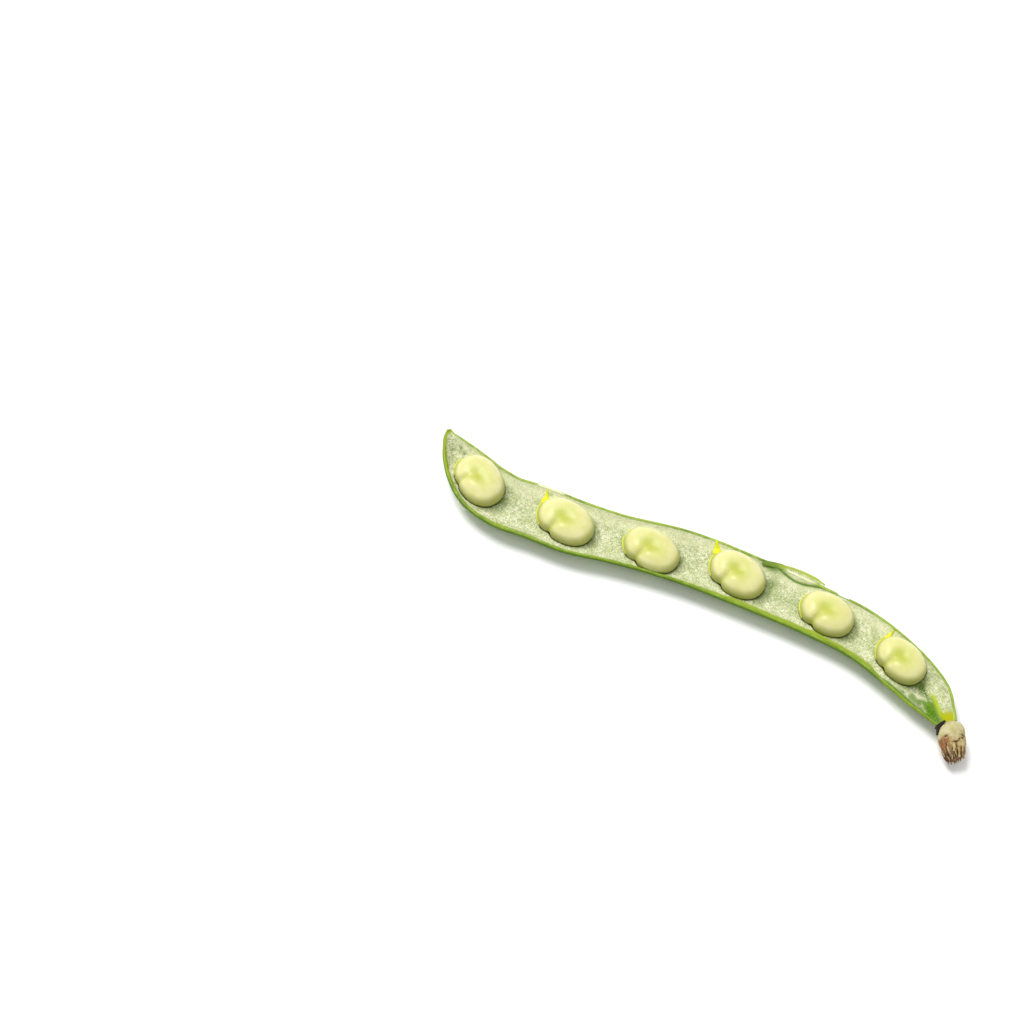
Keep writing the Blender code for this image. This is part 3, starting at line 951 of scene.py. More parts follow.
    def paint(self, across: Array, broken: Array, felt_zones: dict[Zone, Array]) -> dict[Zone, Array]:
        """Lay out the painted measures over whole rings.

        Args:
            across: Distance from the middle line, at every point.
            broken: 1 where the far rim has torn away.
            felt_zones: The lining's own measures.

        Returns:
            Every measure, stations by columns.
        """
        near = slice(0, self.rim_columns)
        skin = slice(near.stop, near.stop + self.skin_columns)
        far = slice(skin.stop, skin.stop + self.rim_columns)
        along = self.course.along[:, None]
        near_x, far_x = self.course.seam_x(-1.0)[:, None], self.course.seam_x(1.0)[:, None]
        crest = np.linspace(0.0, 1.0, self.rim_columns)
        beak = smoothstep(2.2, 0.9, along)
        felt, rim, wall = np.zeros(across.shape), np.zeros(across.shape) + beak, np.zeros(across.shape)
        felt[:, far.stop :] = 1.0
        felt[:, [0, far.stop - 1]] = 0.6
        rim[:, near] = np.maximum(self.seam_profile(crest, 3.5, 81), beak)
        far_rim = np.maximum(self.seam_profile(crest, 6.5, 82)[:, ::-1], beak)
        rim[:, far] = far_rim * (1.0 - 0.8 * broken)
        # Painted shade: the skin darkens below both seams, and the seams' own outer side darkens with it,
        # where they turn from the light; it also gives the skin by the seams a deeper green.
        depth = np.linspace(0.0, 1.0, self.skin_columns)
        wall[:, skin] = bump(depth, 0.16) + 0.6 * bump(1.0 - depth, 0.16)
        wall[:, near] = smoothstep(0.32, 0.62, crest) * (1.0 - 0.75 * smoothstep(*self.bare_edge, near_x))
        torn = smoothstep(*self.torn_wall[0], far_x) * smoothstep(*self.torn_wall[1], far_x)
        wall[:, far] = 0.75 * smoothstep(0.4, 0.75, crest)[::-1] + 0.6 * torn
        # Membrane veils the far rim in two places, and the near rim's inner side is bare in two.
        veiled = sum(smoothstep(*rise, far_x) * smoothstep(*end, far_x) for rise, end in self.veils)
        torn_edge = 0.8 + 0.3 * fractal(along / 1.1, 2.5, 83)
        veil = veiled * smoothstep(torn_edge, torn_edge - 0.35, crest[::-1])
        bared = smoothstep(*self.bare_edge, near_x) * smoothstep(0.35, 0.15, crest)
        bared = bared + smoothstep(*self.beak_bare, near_x) * smoothstep(0.65, 0.4, crest)
        for columns, shown in ((far, veil), (near, bared)):
            rim[:, columns] *= 1.0 - shown
            felt[:, columns] = np.maximum(felt[:, columns], shown)
        wall[:, far] *= 1.0 - veil
        zones = {Zone.LINING: felt, Zone.RIM: rim, Zone.WALL: wall, Zone.ACROSS: across}
        for zone, values in felt_zones.items():
            whole = np.zeros(across.shape)
            whole[:, far.stop :] = values
            whole[:, far] = values[:, :1]
            whole[:, near] = values[:, -1:]
            zones[zone] = whole
        zones[Zone.ALONG] = np.broadcast_to(along, across.shape)
        return zones

    def build(self, material: bpy.types.Material) -> None:
        """Shape the half and dress it."""
        dress(shape_grid("pod_half", *self.rings()), material, ["pod_shell"])


@dataclass
class PeeledStrand:
    """The length of far seam that has peeled off the rim and lies free beside it."""

    course: Course
    reach: Pair = (18.0, 40.5)
    thickness: float = 1.0
    flatness: float = 2.1
    gap: float = 0.8
    level: float = -0.5
    sides: int = 20

    def build(self, material: bpy.types.Material) -> None:
        """Sweep the strand along the far rim and dress it.

        Args:
            material: Fresh pod tissue.
        """
        far_x = self.course.seam_x(1.0)
        rows = np.flatnonzero((far_x > self.reach[0]) & (far_x < self.reach[1]))
        share = np.linspace(0.0, 1.0, len(rows))
        away = self.gap * smoothstep(0.25, 0.6, share) - 0.35 * smoothstep(0.8, 1.0, share)
        away = away - 1.1 * smoothstep(0.3, 0.0, share)
        radius = 0.5 * self.thickness * (1.0 - 0.45 * smoothstep(0.8, 1.0, share))
        across = self.course.half_width[rows] + away
        plan = self.course.middle[rows] + across[:, None] * self.course.side[rows]
        path = np.column_stack([plan, self.level + 0.12 * fractal(share * 9.0, 0.0, 41)])
        flat = np.column_stack([self.course.side[rows], np.zeros(len(rows))])
        rings = tube_points(path, radius * self.flatness, radius * 0.8, flat, self.sides)
        turn = full_turn(self.sides)
        inward = smoothstep(-0.15, 0.2, -np.cos(turn)) * smoothstep(0.25, 0.45, share)[:, None]
        zones = {
            Zone.LINING: 0.9 * inward,
            Zone.RIM: 1.0 - inward,
            Zone.WALL: 0.8 * smoothstep(0.45, 0.1, share)[:, None],
            Zone.ALONG: self.course.along[rows][:, None],
            Zone.ACROSS: across[:, None] + radius[:, None] * np.cos(turn),
        }
        dress(shape_grid("peeled_strand", rings, zones), material)


@dataclass
class MembraneShreds:
    """Torn threads of seam membrane on the near rim, towards the beak."""

    threads: tuple[tuple[tuple[float, float, float], ...], ...] = (
        (
            (-79.6, -19.2, -0.2),
            (-79.9, -20.8, -0.6),
            (-78.4, -21.7, -1.2),
            (-76.2, -22.0, -1.6),
            (-74.9, -21.6, -1.2),
        ),
        ((-66.2, -19.4, 0.25), (-65.3, -20.0, 0.5), (-64.5, -20.6, 0.45), (-63.8, -21.4, 0.1)),
        ((-60.9, -19.3, 0.0), (-57.6, -18.5, 0.25), (-54.8, -17.9, 0.3), (-52.4, -17.4, 0.0)),
    )
    half_width: float = 0.16
    half_thickness: float = 0.07
    lean: tuple[float, float, float] = (0.3, 0.2, 1.0)
    sides: int = 8
    steps: int = 24

    def build(self, material: bpy.types.Material) -> None:
        """Sweep each thread, join them and dress the result.

        Args:
            material: Dried seam membrane.
        """
        shreds = []
        fade = np.sin(np.linspace(0.12, np.pi - 0.12, self.steps)) ** 0.5
        for number, knots in enumerate(self.threads):
            read = np.linspace(0.0, len(knots) - 1.0, self.steps)
            path = smoothed(read_line(np.array(knots), np.arange(len(knots)), read), 3)
            flat = np.broadcast_to(np.array(self.lean), path.shape)
            rings = tube_points(path, self.half_width * fade, self.half_thickness * fade, flat, self.sides)
            shreds.append(shape_grid(f"shred_{number}", rings, {Zone.SHARE: fade[:, None]}))
        dress(join("membrane_shreds", shreds), material)


@dataclass
class Funicle:
    """One seed stalk: a flat foot by the far seam, then a cord that hugs the bean's end."""

    bean: Bean
    pod: PodHalf
    arc: Pair = (168.0, 222.0)
    width: float = 1.1
    foot_width: float = 3.5
    thickness: float = 0.8
    level: float = 0.7
    clearance: float = -0.12
    roll: float = 62.0
    steps: int = 44
    sides: int = 16

    def path(self) -> tuple[Array, Array]:
        """Lay out the stalk in plan.

        Returns:
            Its middle points, and the share of its length at each.
        """
        bean = self.bean
        arc = np.linspace(*self.arc, 16)
        hug = bean.outline(arc) + self.clearance + 0.22 * self.width
        u, v = hug * np.cos(np.radians(arc)), hug * np.sin(np.radians(arc))
        angle, away = bean.foot
        foot = float(bean.outline(np.array(angle))) + away
        share = np.linspace(0.0, 1.0, 8)[:-1]
        foot_u, foot_v = foot * np.cos(np.radians(angle)), foot * np.sin(np.radians(angle))
        u = np.concatenate([foot_u + (u[0] - foot_u) * share, u])
        v = np.concatenate([foot_v + (v[0] - foot_v) * share, v])
        plan = np.column_stack(bean.place(u, v))
        chord = np.concatenate([[0.0], np.cumsum(np.hypot(*np.diff(plan, axis=0).T))])
        read = np.linspace(0.0, chord[-1], self.steps)
        return smoothed(read_line(plan, chord, read), 4), read / chord[-1]

    def build(self, material: bpy.types.Material) -> None:
        """Sweep the stalk and dress it.

        Args:
            material: Moist seed stalk.
        """
        plan, share = self.path()
        course = self.pod.course
        stations, across = zip(*(course.nearest(point) for point in plan))
        under = self.pod.lining_height(*plan.T, np.array(across), course.half_width[list(stations)])
        lying = under + 0.3 * self.thickness
        flame = smoothstep(2.2, 4.4, np.array(self.bean.foot[1]))
        hugging = smoothstep(0.12 + 0.2 * flame, 0.55, share)
        height = np.maximum(lying, self.level * hugging + lying * (1.0 - hugging))
        path = np.column_stack([plan, height - 1.1 * smoothstep(0.75, 1.0, share)])
        heading = unit(np.gradient(path, axis=0))
        outward = unit(np.cross(heading, UP))
        upward = np.cross(outward, heading)
        roll = np.radians(self.roll) * hugging[:, None]
        flat = outward * np.cos(roll) + upward * np.sin(roll)
        wide = 0.5 * self.width * (1.0 - 0.4 * share) * smoothstep(-0.15, 0.2, share)
        wide = wide + 0.5 * flame * (self.foot_width - self.width) * bump(share - 0.3, 0.15)
        thick = 0.5 * self.thickness * (1.0 - 0.3 * share)
        rings = tube_points(path, wide, thick, flat, self.sides)
        thing = shape_grid(f"seed_stalk_{self.bean.number}", rings, {Zone.SHARE: share[:, None]})
        dress(thing, material, [f"funicle_{self.bean.number}"])


@dataclass
class StalkStub:
    """The swollen dried stalk end: smooth pale shoulder, brown wrinkles darkened with painted shade, and a
    torn fibrous break.
    """

    course: Course
    # Distance from the neck and radius.
    profile: tuple[Pair, ...] = (
        (0.0, 2.6),
        (0.9, 3.7),
        (2.3, 4.4),
        (4.3, 4.7),
        (6.4, 4.4),
        (8.5, 4.0),
        (10.3, 3.6),
        (11.4, 2.8),
    )
    level: float = -1.0
    turn: float = -10.0
    fall: float = 2.0
    sidestep: float = 0.85
    neck_gap: float = 0.3
    rounds: int = 110
    sides: int = 132
    # Angle of each cleft, and the share of the length where it begins.
    clefts: tuple[Pair, ...] = (
        (40.0, 0.68),
        (72.0, 0.72),
        (95.0, 0.62),
        (121.0, 0.7),
        (150.0, 0.5),
        (200.0, 0.6),
        (262.0, 0.5),
        (325.0, 0.55),
    )
    # Share of the length, phase of its wave, angle and spread of each crack across the stub.
    cracks: tuple[tuple[float, float, float, float], ...] = (
        (0.62, 1.0, 88.0, 18.0),
        (0.5, 2.0, 42.0, 14.0),
        (0.61, 2.6, 47.0, 9.0),
        (0.56, 0.3, 68.0, 6.0),
        (0.4, 0.5, 128.0, 7.0),
    )
    crack_width: float = 0.025
    fibres: int = 42
    fibre_length: float = 3.2
    fibre_radius: float = 0.42
    fibre_overhang: float = 0.6
    seed: int = 8

    def axis(self, run: Array) -> tuple[Array, Array, Array]:
        """Read the stub's middle line.

        Args:
            run: Distances from the neck.

        Returns:
            Its middle points, and its directions onwards and sideways in plan.
        """
        turn = np.radians(self.turn)
        heading, side = self.course.heading[-1], self.course.side[-1]
        bent = heading * np.cos(turn) + side * np.sin(turn)
        onward = np.maximum(run - self.neck_gap, 0.0)
        straight = np.outer(np.minimum(run, self.neck_gap), heading)
        plan = self.course.middle[-1] + straight + np.outer(onward, bent)
        fall = self.fall * (onward / self.profile[-1][0]) ** 1.5
        plan = plan + np.outer(self.sidestep * smoothstep(-1.0, 3.0, run), side)
        return np.column_stack([plan, self.level - fall]), bent, side

    def bark(self, share: Array, around: Array) -> tuple[Array, dict[Zone, Array]]:
        """Folds, clefts and cracks of the withered skin.

        Args:
            share: Share of the length, one row to a ring.
            around: Angle about the middle line, one column to a point.

        Returns:
            How much of the plain radius is left, and the measures to paint.
        """
        twist = around + 0.5 * share + 0.2 * np.sin(5.0 * share + 1.0)
        folds = np.sin(7.0 * twist) * 0.45 + np.sin(13.0 * twist + 3.0 * share) * 0.35
        folds = folds + np.sin(29.0 * twist) * 0.2
        rough = fractal(share * 7.0, 6.0 / np.pi * np.abs(around - np.pi), 51, 4)
        withered = smoothstep(0.3, 0.62, share + 0.12 * rough)
        clefts = sum(
            bump(angle_apart(np.degrees(twist), where), 5.0) * smoothstep(begin, begin + 0.2, share)
            for where, begin in self.clefts
        )
        cracks = sum(
            bump(share - place - 0.05 * np.sin(around + bend) - 0.03 * rough, self.crack_width)
            * bump(angle_apart(np.degrees(around), where), spread)
            for place, bend, where, spread in self.cracks
        )
        torn = smoothstep(0.72, 1.0, share) * np.abs(np.sin(6.0 * around) * np.sin(2.5 * around + 1.0))
        wrinkle = 1.0 + withered * (0.06 * folds + 0.13 * rough - 0.03) - 0.2 * np.minimum(clefts, 1.0)
        wrinkle = np.clip(wrinkle - 0.08 * cracks - 0.35 * torn + 0.012 * rough, 0.3, 1.08)
        nearside = smoothstep(-0.05, -0.75, np.cos(around))
        # Painted shade: the troughs of the folds, the cracks, the clefts and the torn end are painted dark
        # where shade gathers in them, over brown bark; the near side's lower part is darker in patches.
        brown_and_shade = 0.6 * np.clip(-folds - 0.4 - 0.9 * rough, 0.0, 1.0) * withered
        brown_and_shade = brown_and_shade + 1.3 * cracks + clefts + 1.2 * torn
        brown_and_shade = brown_and_shade + 0.8 * nearside * smoothstep(0.62, 0.85, share) * smoothstep(-0.3, 0.3, rough)
        stain = nearside * smoothstep(0.32, 0.5, share) + 0.9 * smoothstep(0.74, 0.9, share)
        zones = {
            Zone.GROOVE: np.clip(brown_and_shade, 0.0, 1.0),
            Zone.STAIN: np.clip(stain + 0.3 * rough * withered, 0.0, 1.0),
            Zone.SHARE: share,
        }
        return wrinkle, zones

    def body(self) -> bpy.types.Object:
        """Shape the wrinkled body.

        Returns:
            The body, as a loose piece.
        """
        profile = np.array(self.profile)
        run = np.linspace(0.0, profile[-1, 0], self.rounds)
        radius = read_curve(profile[:, 1:], profile[:, 0], run)
        middle, _, side = self.axis(run + self.neck_gap)
        turn = full_turn(self.sides)
        wrinkle, zones = self.bark((run / run[-1])[:, None], turn[None, :])
        reach = radius * wrinkle
        plan = middle[:, None, :2] + (reach * np.cos(turn))[:, :, None] * side
        height = middle[:, None, 2:] + (reach * np.sin(turn))[:, :, None]
        return shape_grid("stub_body", np.concatenate([plan, height], axis=2), zones)

    def tear(self) -> list[bpy.types.Object]:
        """Shape the torn fibres round the body's last third, each with a course of its own.

        Returns:
            The fibres, as loose pieces.
        """
        draws = np.random.default_rng(self.seed)
        profile = np.array(self.profile)
        end = profile[-1, 0]
        _, bent, side = self.axis(np.array([0.0]))
        outward = np.array([*side, 0.0])
        t = np.linspace(0.0, 1.0, 8)
        made = []
        for number in range(self.fibres):
            turn = 2.4 * number + draws.uniform(-0.2, 0.2)
            out = outward * np.cos(turn) + UP * np.sin(turn)
            skew = outward * -np.sin(turn) + UP * np.cos(turn)
            begin = draws.uniform(0.66, 0.95) * end
            length = min(self.fibre_length * draws.uniform(0.5, 1.2), end + self.fibre_overhang - begin)
            run = begin + t * length
            middle, _, _ = self.axis(np.minimum(run, end) + self.neck_gap)
            middle = middle + np.maximum(run - end, 0.0)[:, None] * np.array([*bent, -0.15])
            reach = np.interp(run, *profile.T) * draws.uniform(0.72, 1.0) + draws.uniform(-0.3, 0.3) * t * t
            reach = np.where(t < 0.1, 0.86 * reach, reach)
            drift = draws.uniform(-0.7, 0.7) * t * t + draws.uniform(-0.15, 0.15) * np.sin(7.0 * t)
            path = middle + reach[:, None] * out + drift[:, None] * skew
            radius = self.fibre_radius * draws.uniform(0.55, 1.5) * (1.0 - 0.55 * t)
            rings = tube_points(path, radius, 0.6 * radius, np.broadcast_to(skew, path.shape), 6)
            tone = draws.uniform(0.0, 1.0) ** 2.5
            zones = {Zone.GROOVE: 0.7 * tone, Zone.STAIN: tone, Zone.SHARE: 0.45 + 0.3 * tone}
            made.append(shape_grid(f"fibre_{number}", rings, zones))
        return made

    def build(self, material: bpy.types.Material) -> None:
        """Shape the body and the tear, join them and dress the result."""
        dress(join("dried_stalk", [self.body(), *self.tear()]), material, ["stalk_stub"])


@dataclass
class CalyxRemains:
    """The withered collar under the neck: a torn ring of black scales."""

    stub: StalkStub
    arc: Pair = (108.0, 330.0)
    radius: float = 3.7
    clearance: float = 0.2
    flare: float = 0.2
    thickness: float = 0.6
    columns: int = 90
    rows: int = 16

    def build(self, material: bpy.types.Material) -> None:
        """Shape the collar, thicken it and dress it.

        Args:
            material: Withered calyx scale.
        """
        degrees = np.linspace(*self.arc, self.columns)
        turn = np.radians(degrees)
        share = np.linspace(0.0, 1.0, self.columns)
        steps = np.linspace(0.0, 1.0, self.rows)
        tooth = np.abs(np.sin(4.0 * np.pi * share + 0.5)) * (0.75 + 0.25 * np.cos(5.0 * share))
        ragged = 0.3 * fractal(share * 40.0, 0.0, 61)
        front = 0.5 + 2.3 * bump(degrees - 178.0, 34.0) + 0.6 * smoothstep(215.0, 250.0, degrees)
        back = 0.1 + (0.9 + 0.5 * tooth) * smoothstep(190.0, 235.0, degrees)
        profile = np.array(self.stub.profile)
        points = np.zeros((self.rows, self.columns, 3))
        for k, step in enumerate(steps):
            run = front + ragged - step * (front + back + ragged)
            middle, _, side = self.stub.axis(run)
            crinkle = 0.12 * fractal(share * 22.0, 3.0 * step, 62)
            hold = np.maximum(np.interp(run - self.stub.neck_gap, *profile.T) + self.clearance, self.radius)
            sideways = hold - self.flare * np.minimum(run, 0.0) + crinkle
            down = hold + 0.2 * tooth * np.maximum(-run, 0.0) + crinkle
            points[k, :, :2] = middle[:, :2] + (sideways * np.cos(turn))[:, None] * side
            points[k, :, 2] = self.stub.level + down * np.sin(turn)
        thing = shape_grid("withered_calyx", points, {Zone.SHARE: steps[:, None]}, poles=False)
        wall = thing.modifiers.new("wall", "SOLIDIFY")
        wall.thickness = self.thickness * MM
        wall.offset = 0.0
        bpy.context.view_layer.objects.active = thing
        bpy.ops.object.modifier_apply(modifier=wall.name)
        dress(thing, material, ["calyx_remains"])


def feed(tree: bpy.types.NodeTree, node: bpy.types.Node, inputs: dict[str | int, object]) -> None:
    """Set a node's inputs.

    Args:
        tree: The material's node tree.
        node: The node.
        inputs: Socket name or number to a value, or to the output that feeds it.
    """
    for name, value in inputs.items():
        if isinstance(value, Socket):
            tree.links.new(value, node.inputs[name])
        else:
            node.inputs[name].default_value = value


def add_node(
    tree: bpy.types.NodeTree, kind: str, inputs: dict[str | int, object] | None = None, **settings: object
) -> bpy.types.Node:
    """Add a shader node with its settings, values and links.

    Args:
        tree: The material's node tree.
        kind: Blender's name for the node.
        inputs: Socket name or number to a value, or to the output that feeds it.
        **settings: The node's own properties.

    Returns:
        The new node.
    """
    made = tree.nodes.new(kind)
    for name, value in settings.items():
        setattr(made, name, value)
    feed(tree, made, inputs or {})
    return made


@dataclass(frozen=True)
class Layer:
    """One colour laid over those before it, as far as a measure says.

    Args:
        measure: The painted zone or the texture that it follows.
        colour: An sRGB hex colour, or the output of colours laid before.
        low: The measure where the colour begins to show.
        high: The measure where it shows most.
        most: How much of it shows there.
    """

    measure: Zone | str
    colour: str | Socket
    low: float = 0.0
    high: float = 1.0
    most: float = 1.0


@dataclass
class Recipe:
    """A node material being put together.

    Args:
        name: The material's name.
        zones: The painted measures that it reads.
        clouds: Noise textures by name: size in millimetres, detail and roughness.
    """

    name: str
    zones: tuple[Zone, ...] = ()
    clouds: dict[str, tuple[float, float, float]] = field(default_factory=dict)
    material: bpy.types.Material = field(init=False)
    tree: bpy.types.NodeTree = field(init=False)
    place: Socket | None = field(init=False, default=None)
    measures: dict[Zone | str, Socket] = field(init=False, default_factory=dict)

    def __post_init__(self) -> None:
        """Start the material and read its zones and noise textures, which follow the mesh's own places."""
        self.material = bpy.data.materials.new(self.name)
        self.material.use_nodes = True
        self.tree = self.material.node_tree
        if self.clouds:
            self.place = add_node(self.tree, "ShaderNodeTexCoord").outputs["Object"]
        for zone in self.zones:
            painted = add_node(self.tree, "ShaderNodeAttribute", attribute_name=zone.value)
            self.measures[zone] = painted.outputs["Fac"]
        for name, (size, detail, roughness) in self.clouds.items():
            scale = 1.0 / (size * MM)
            inputs = {"Vector": self.place, "Scale": scale, "Detail": detail, "Roughness": roughness}
            self.measures[name] = add_node(self.tree, "ShaderNodeTexNoise", inputs).outputs["Fac"]

    def sift(
        self, name: str, shown: Zone | str, through: str, low: float, high: float, most: float
    ) -> None:
        """Add a measure that shows only through the pattern of another.

        Args:
            name: The new measure's name.
            shown: The measure that shows.
            through: The measure whose pattern it shows through.
            low: The pattern where it begins to show.
            high: The pattern where it shows most.
            most: How much of it shows there.
        """
        band = {"Value": self.measures[through], "From Min": low, "From Max": high, "To Max": most}
        share = add_node(self.tree, "ShaderNodeMapRange", band).outputs["Result"]
        both = {0: self.measures[shown], 1: share}
        self.measures[name] = add_node(self.tree, "ShaderNodeMath", both, operation="MULTIPLY").outputs[0]

    def lay(self, base: str | Socket, *layers: Layer) -> Socket:
        """Lay colours over a base, one after another.

        Args:
            base: An sRGB hex colour, or the output of colours laid before.
            *layers: The colours to lay, the lowest first.

        Returns:
            The output of the colours together.
        """
        colour = linear(base) if isinstance(base, str) else base
        for layer in layers:
            band = {"Value": self.measures[layer.measure], "From Min": layer.low, "From Max": layer.high}
            share = add_node(self.tree, "ShaderNodeMapRange", {**band, "To Max": layer.most})
            over = linear(layer.colour) if isinstance(layer.colour, str) else layer.colour
            inputs = {0: share.outputs["Result"], 6: colour, 7: over}
            mixed = add_node(self.tree, "ShaderNodeMix", inputs, data_type="RGBA", clamp_factor=True)
            colour = mixed.outputs[2]
        return colour

    def finish(
        self,
        colour: str | Socket,
        values: dict[str, object],
        relief: tuple[str, float, float] | None = None,
    ) -> bpy.types.Material:
        """Give the shader its colour, its values and its relief.

        Args:
            colour: An sRGB hex colour, or the output of colours laid together.
            values: Shader inputs by name, each with its value or the output that feeds it.
            relief: The measure that is the relief's height, its strength, and its depth in metres.

        Returns:
            The finished material.
        """
        inputs = {"Base Color": linear(colour) if isinstance(colour, str) else colour, **values}
        if relief:
            heights = {"Height": self.measures[relief[0]], "Strength": relief[1], "Distance": relief[2]}
            inputs["Normal"] = add_node(self.tree, "ShaderNodeBump", heights).outputs["Normal"]
        feed(self.tree, self.tree.nodes["Principled BSDF"], inputs)
        return self.material


@dataclass(frozen=True)
class PodFinish:
    """Fresh pod tissue: waxy green skin outside, water-rich green seam, matt cellulose felt inside."""

    skin: str = "#8fb03a"
    skin_light: str = "#abc75a"
    skin_dark: str = "#64861f"
    speck: str = "#6b5a22"
    seam: str = "#8ea222"
    seam_dark: str = "#6c8414"
    seam_light: str = "#b0bf46"
    sill: str = "#96aa34"
    # Deeper green, painted as shade below the seams and on their outer sides.
    wall: str = "#456a08"
    felt_light: str = "#e6e5c4"
    felt: str = "#c6ca9a"
    felt_thin: str = "#87975c"
    # Damp felt, and painted shade beside the beans and down the lining's middle.
    felt_damp_and_shade: str = "#84975f"
    # Bruises, and the painted contact shadow under the beans.
    felt_bruised_and_shadow: str = "#547022"
    groove: str = "#4d7a0c"
    groove_light: str = "#86a53c"
    ridge: str = "#a9bf1c"
    plug: str = "#a8ac14"
    # The felt's pale edge by the rims, and painted light up the far wall.
    edge: str = "#eceec2"
    felt_roughness: float = 0.95
    skin_roughness: float = 0.42
    speck_cell: float = 1.923
    # Width and length in millimetres of a clump of threads.
    clump: Pair = (1.0 / 3.0, 4.0 / 3.0)
    thread_relief: float = 0.00025

    def add_threads(self, tissue: Recipe) -> None:
        """Add the felt's threads, the skin's specks and the relief of both to the measures.

        Args:
            tissue: The pod's material, still in the making.
        """
        tree = tissue.tree
        # The felt is a weave of threads both ways. They are too fine to show, so it is drawn as coarse as
        # the clumps that they form.
        plane = {"X": tissue.measures[Zone.ALONG], "Y": tissue.measures[Zone.ACROSS]}
        lane = add_node(tree, "ShaderNodeCombineXYZ", plane).outputs[0]
        weave = []
        for along, across in (self.clump, self.clump[::-1]):
            stretch = {0: lane, 1: (1.0 / along, 1.0 / across, 0.0)}
            drawn = add_node(tree, "ShaderNodeVectorMath", stretch, operation="MULTIPLY")
            inputs = {"Vector": drawn.outputs[0], "Scale": 1.0, "Detail": 3.0, "Roughness": 0.6}
            weave.append(add_node(tree, "ShaderNodeTexNoise", inputs).outputs["Fac"])
        both = add_node(tree, "ShaderNodeMath", {0: weave[0], 1: weave[1]}, operation="ADD").outputs[0]
        threads = add_node(tree, "ShaderNodeMath", {0: both, 1: 0.5}, operation="MULTIPLY").outputs[0]
        # Sparse brown specks, at most one of them in a cell and a quarter of it wide.
        cells = {"Vector": tissue.place, "Scale": 1.0 / (self.speck_cell * MM), "Randomness": 1.0}
        apart = add_node(tree, "ShaderNodeTexVoronoi", cells).outputs["Distance"]
        near = {"Value": apart, "From Min": 0.14, "From Max": 0.05}
        specks = add_node(tree, "ShaderNodeMapRange", near).outputs["Result"]
        raised = {0: threads, 1: tissue.measures[Zone.LINING]}
        felted = add_node(tree, "ShaderNodeMath", raised, operation="MULTIPLY").outputs[0]
        rough = {0: tissue.measures["fine"], 1: 0.35, 2: felted}
        relief = add_node(tree, "ShaderNodeMath", rough, operation="MULTIPLY_ADD").outputs[0]
        tissue.measures.update({"threads": threads, "specks": specks, "relief": relief})

    def build(self) -> bpy.types.Material:
        """The pod's material, its zones told apart by the painted measures.

        Returns:
            The material.
        """
        # The wax gives the skin a soft sheen, and the dry felt scatters light and shows no highlight.
        # Felt and seam are mottled in patches, and the skin in broad patches and again in fine ones.
        zones = (Zone.ALONG, Zone.ACROSS, Zone.LINING, Zone.RIM, Zone.EDGE, Zone.WALL)
        zones = (*zones, Zone.DAMP, Zone.CONTACT, Zone.BARE, Zone.RIDGE, Zone.SILL, Zone.PLUG)
        clouds = {"mottle": (3.03, 4.0, 0.62), "broad": (8.333, 3.0, 0.6), "fine": (1.4286, 5.0, 0.65)}
        tissue = Recipe("fresh_pod_tissue", zones, clouds)
        self.add_threads(tissue)
        # The damp layer is partly painted shade, beside the beans and down the lining's middle.
        tissue.sift("damp_and_shade", Zone.DAMP, "threads", 0.3, 0.6, 1.3)
        # The bruise layer also carries the painted contact shadow under the beans.
        tissue.sift("bruise", Zone.CONTACT, "threads", 0.36, 0.54, 1.15)
        tissue.sift("spots", "specks", "fine", 0.52, 0.6, 0.7)
        felt = tissue.lay(
            self.felt_light,
            Layer("mottle", self.felt, 0.4, 0.62),
            Layer("threads", self.felt_thin, 0.45, 0.59, 0.8),
            Layer("damp_and_shade", self.felt_damp_and_shade, 0.1, 1.1),
            Layer("bruise", self.felt_bruised_and_shadow),
            Layer(Zone.BARE, tissue.lay(self.groove, Layer("threads", self.groove_light, 0.46, 0.62, 0.8))),
            Layer(Zone.RIDGE, self.ridge),
            Layer(Zone.PLUG, self.plug),
            Layer(Zone.EDGE, self.edge, 0.2, 1.0, 0.8),
            Layer(Zone.SILL, self.sill),
        )
        skin = tissue.lay(
            self.skin_dark,
            Layer("broad", self.skin, 0.38, 0.66),
            Layer("fine", self.skin_light, 0.48, 0.68, 0.8),
            Layer("spots", self.speck),
            Layer(Zone.WALL, self.wall),
        )
        seam = tissue.lay(
            self.seam_dark,
            Layer("mottle", self.seam, 0.4, 0.62),
            Layer(Zone.ACROSS, self.seam_light, 0.0, 1.0, 0.7),
            Layer(Zone.WALL, self.wall),
        )
        colour = tissue.lay(skin, Layer(Zone.LINING, felt), Layer(Zone.RIM, seam))
        dryness = {"Value": tissue.measures[Zone.LINING], "To Min": self.skin_roughness}
        dryness["To Max"] = self.felt_roughness
        roughness = add_node(tissue.tree, "ShaderNodeMapRange", dryness).outputs["Result"]
        values = {"Roughness": roughness, "IOR": 1.4, "Specular IOR Level": 0.35}
        return tissue.finish(colour, values, ("relief", 0.8, self.thread_relief))


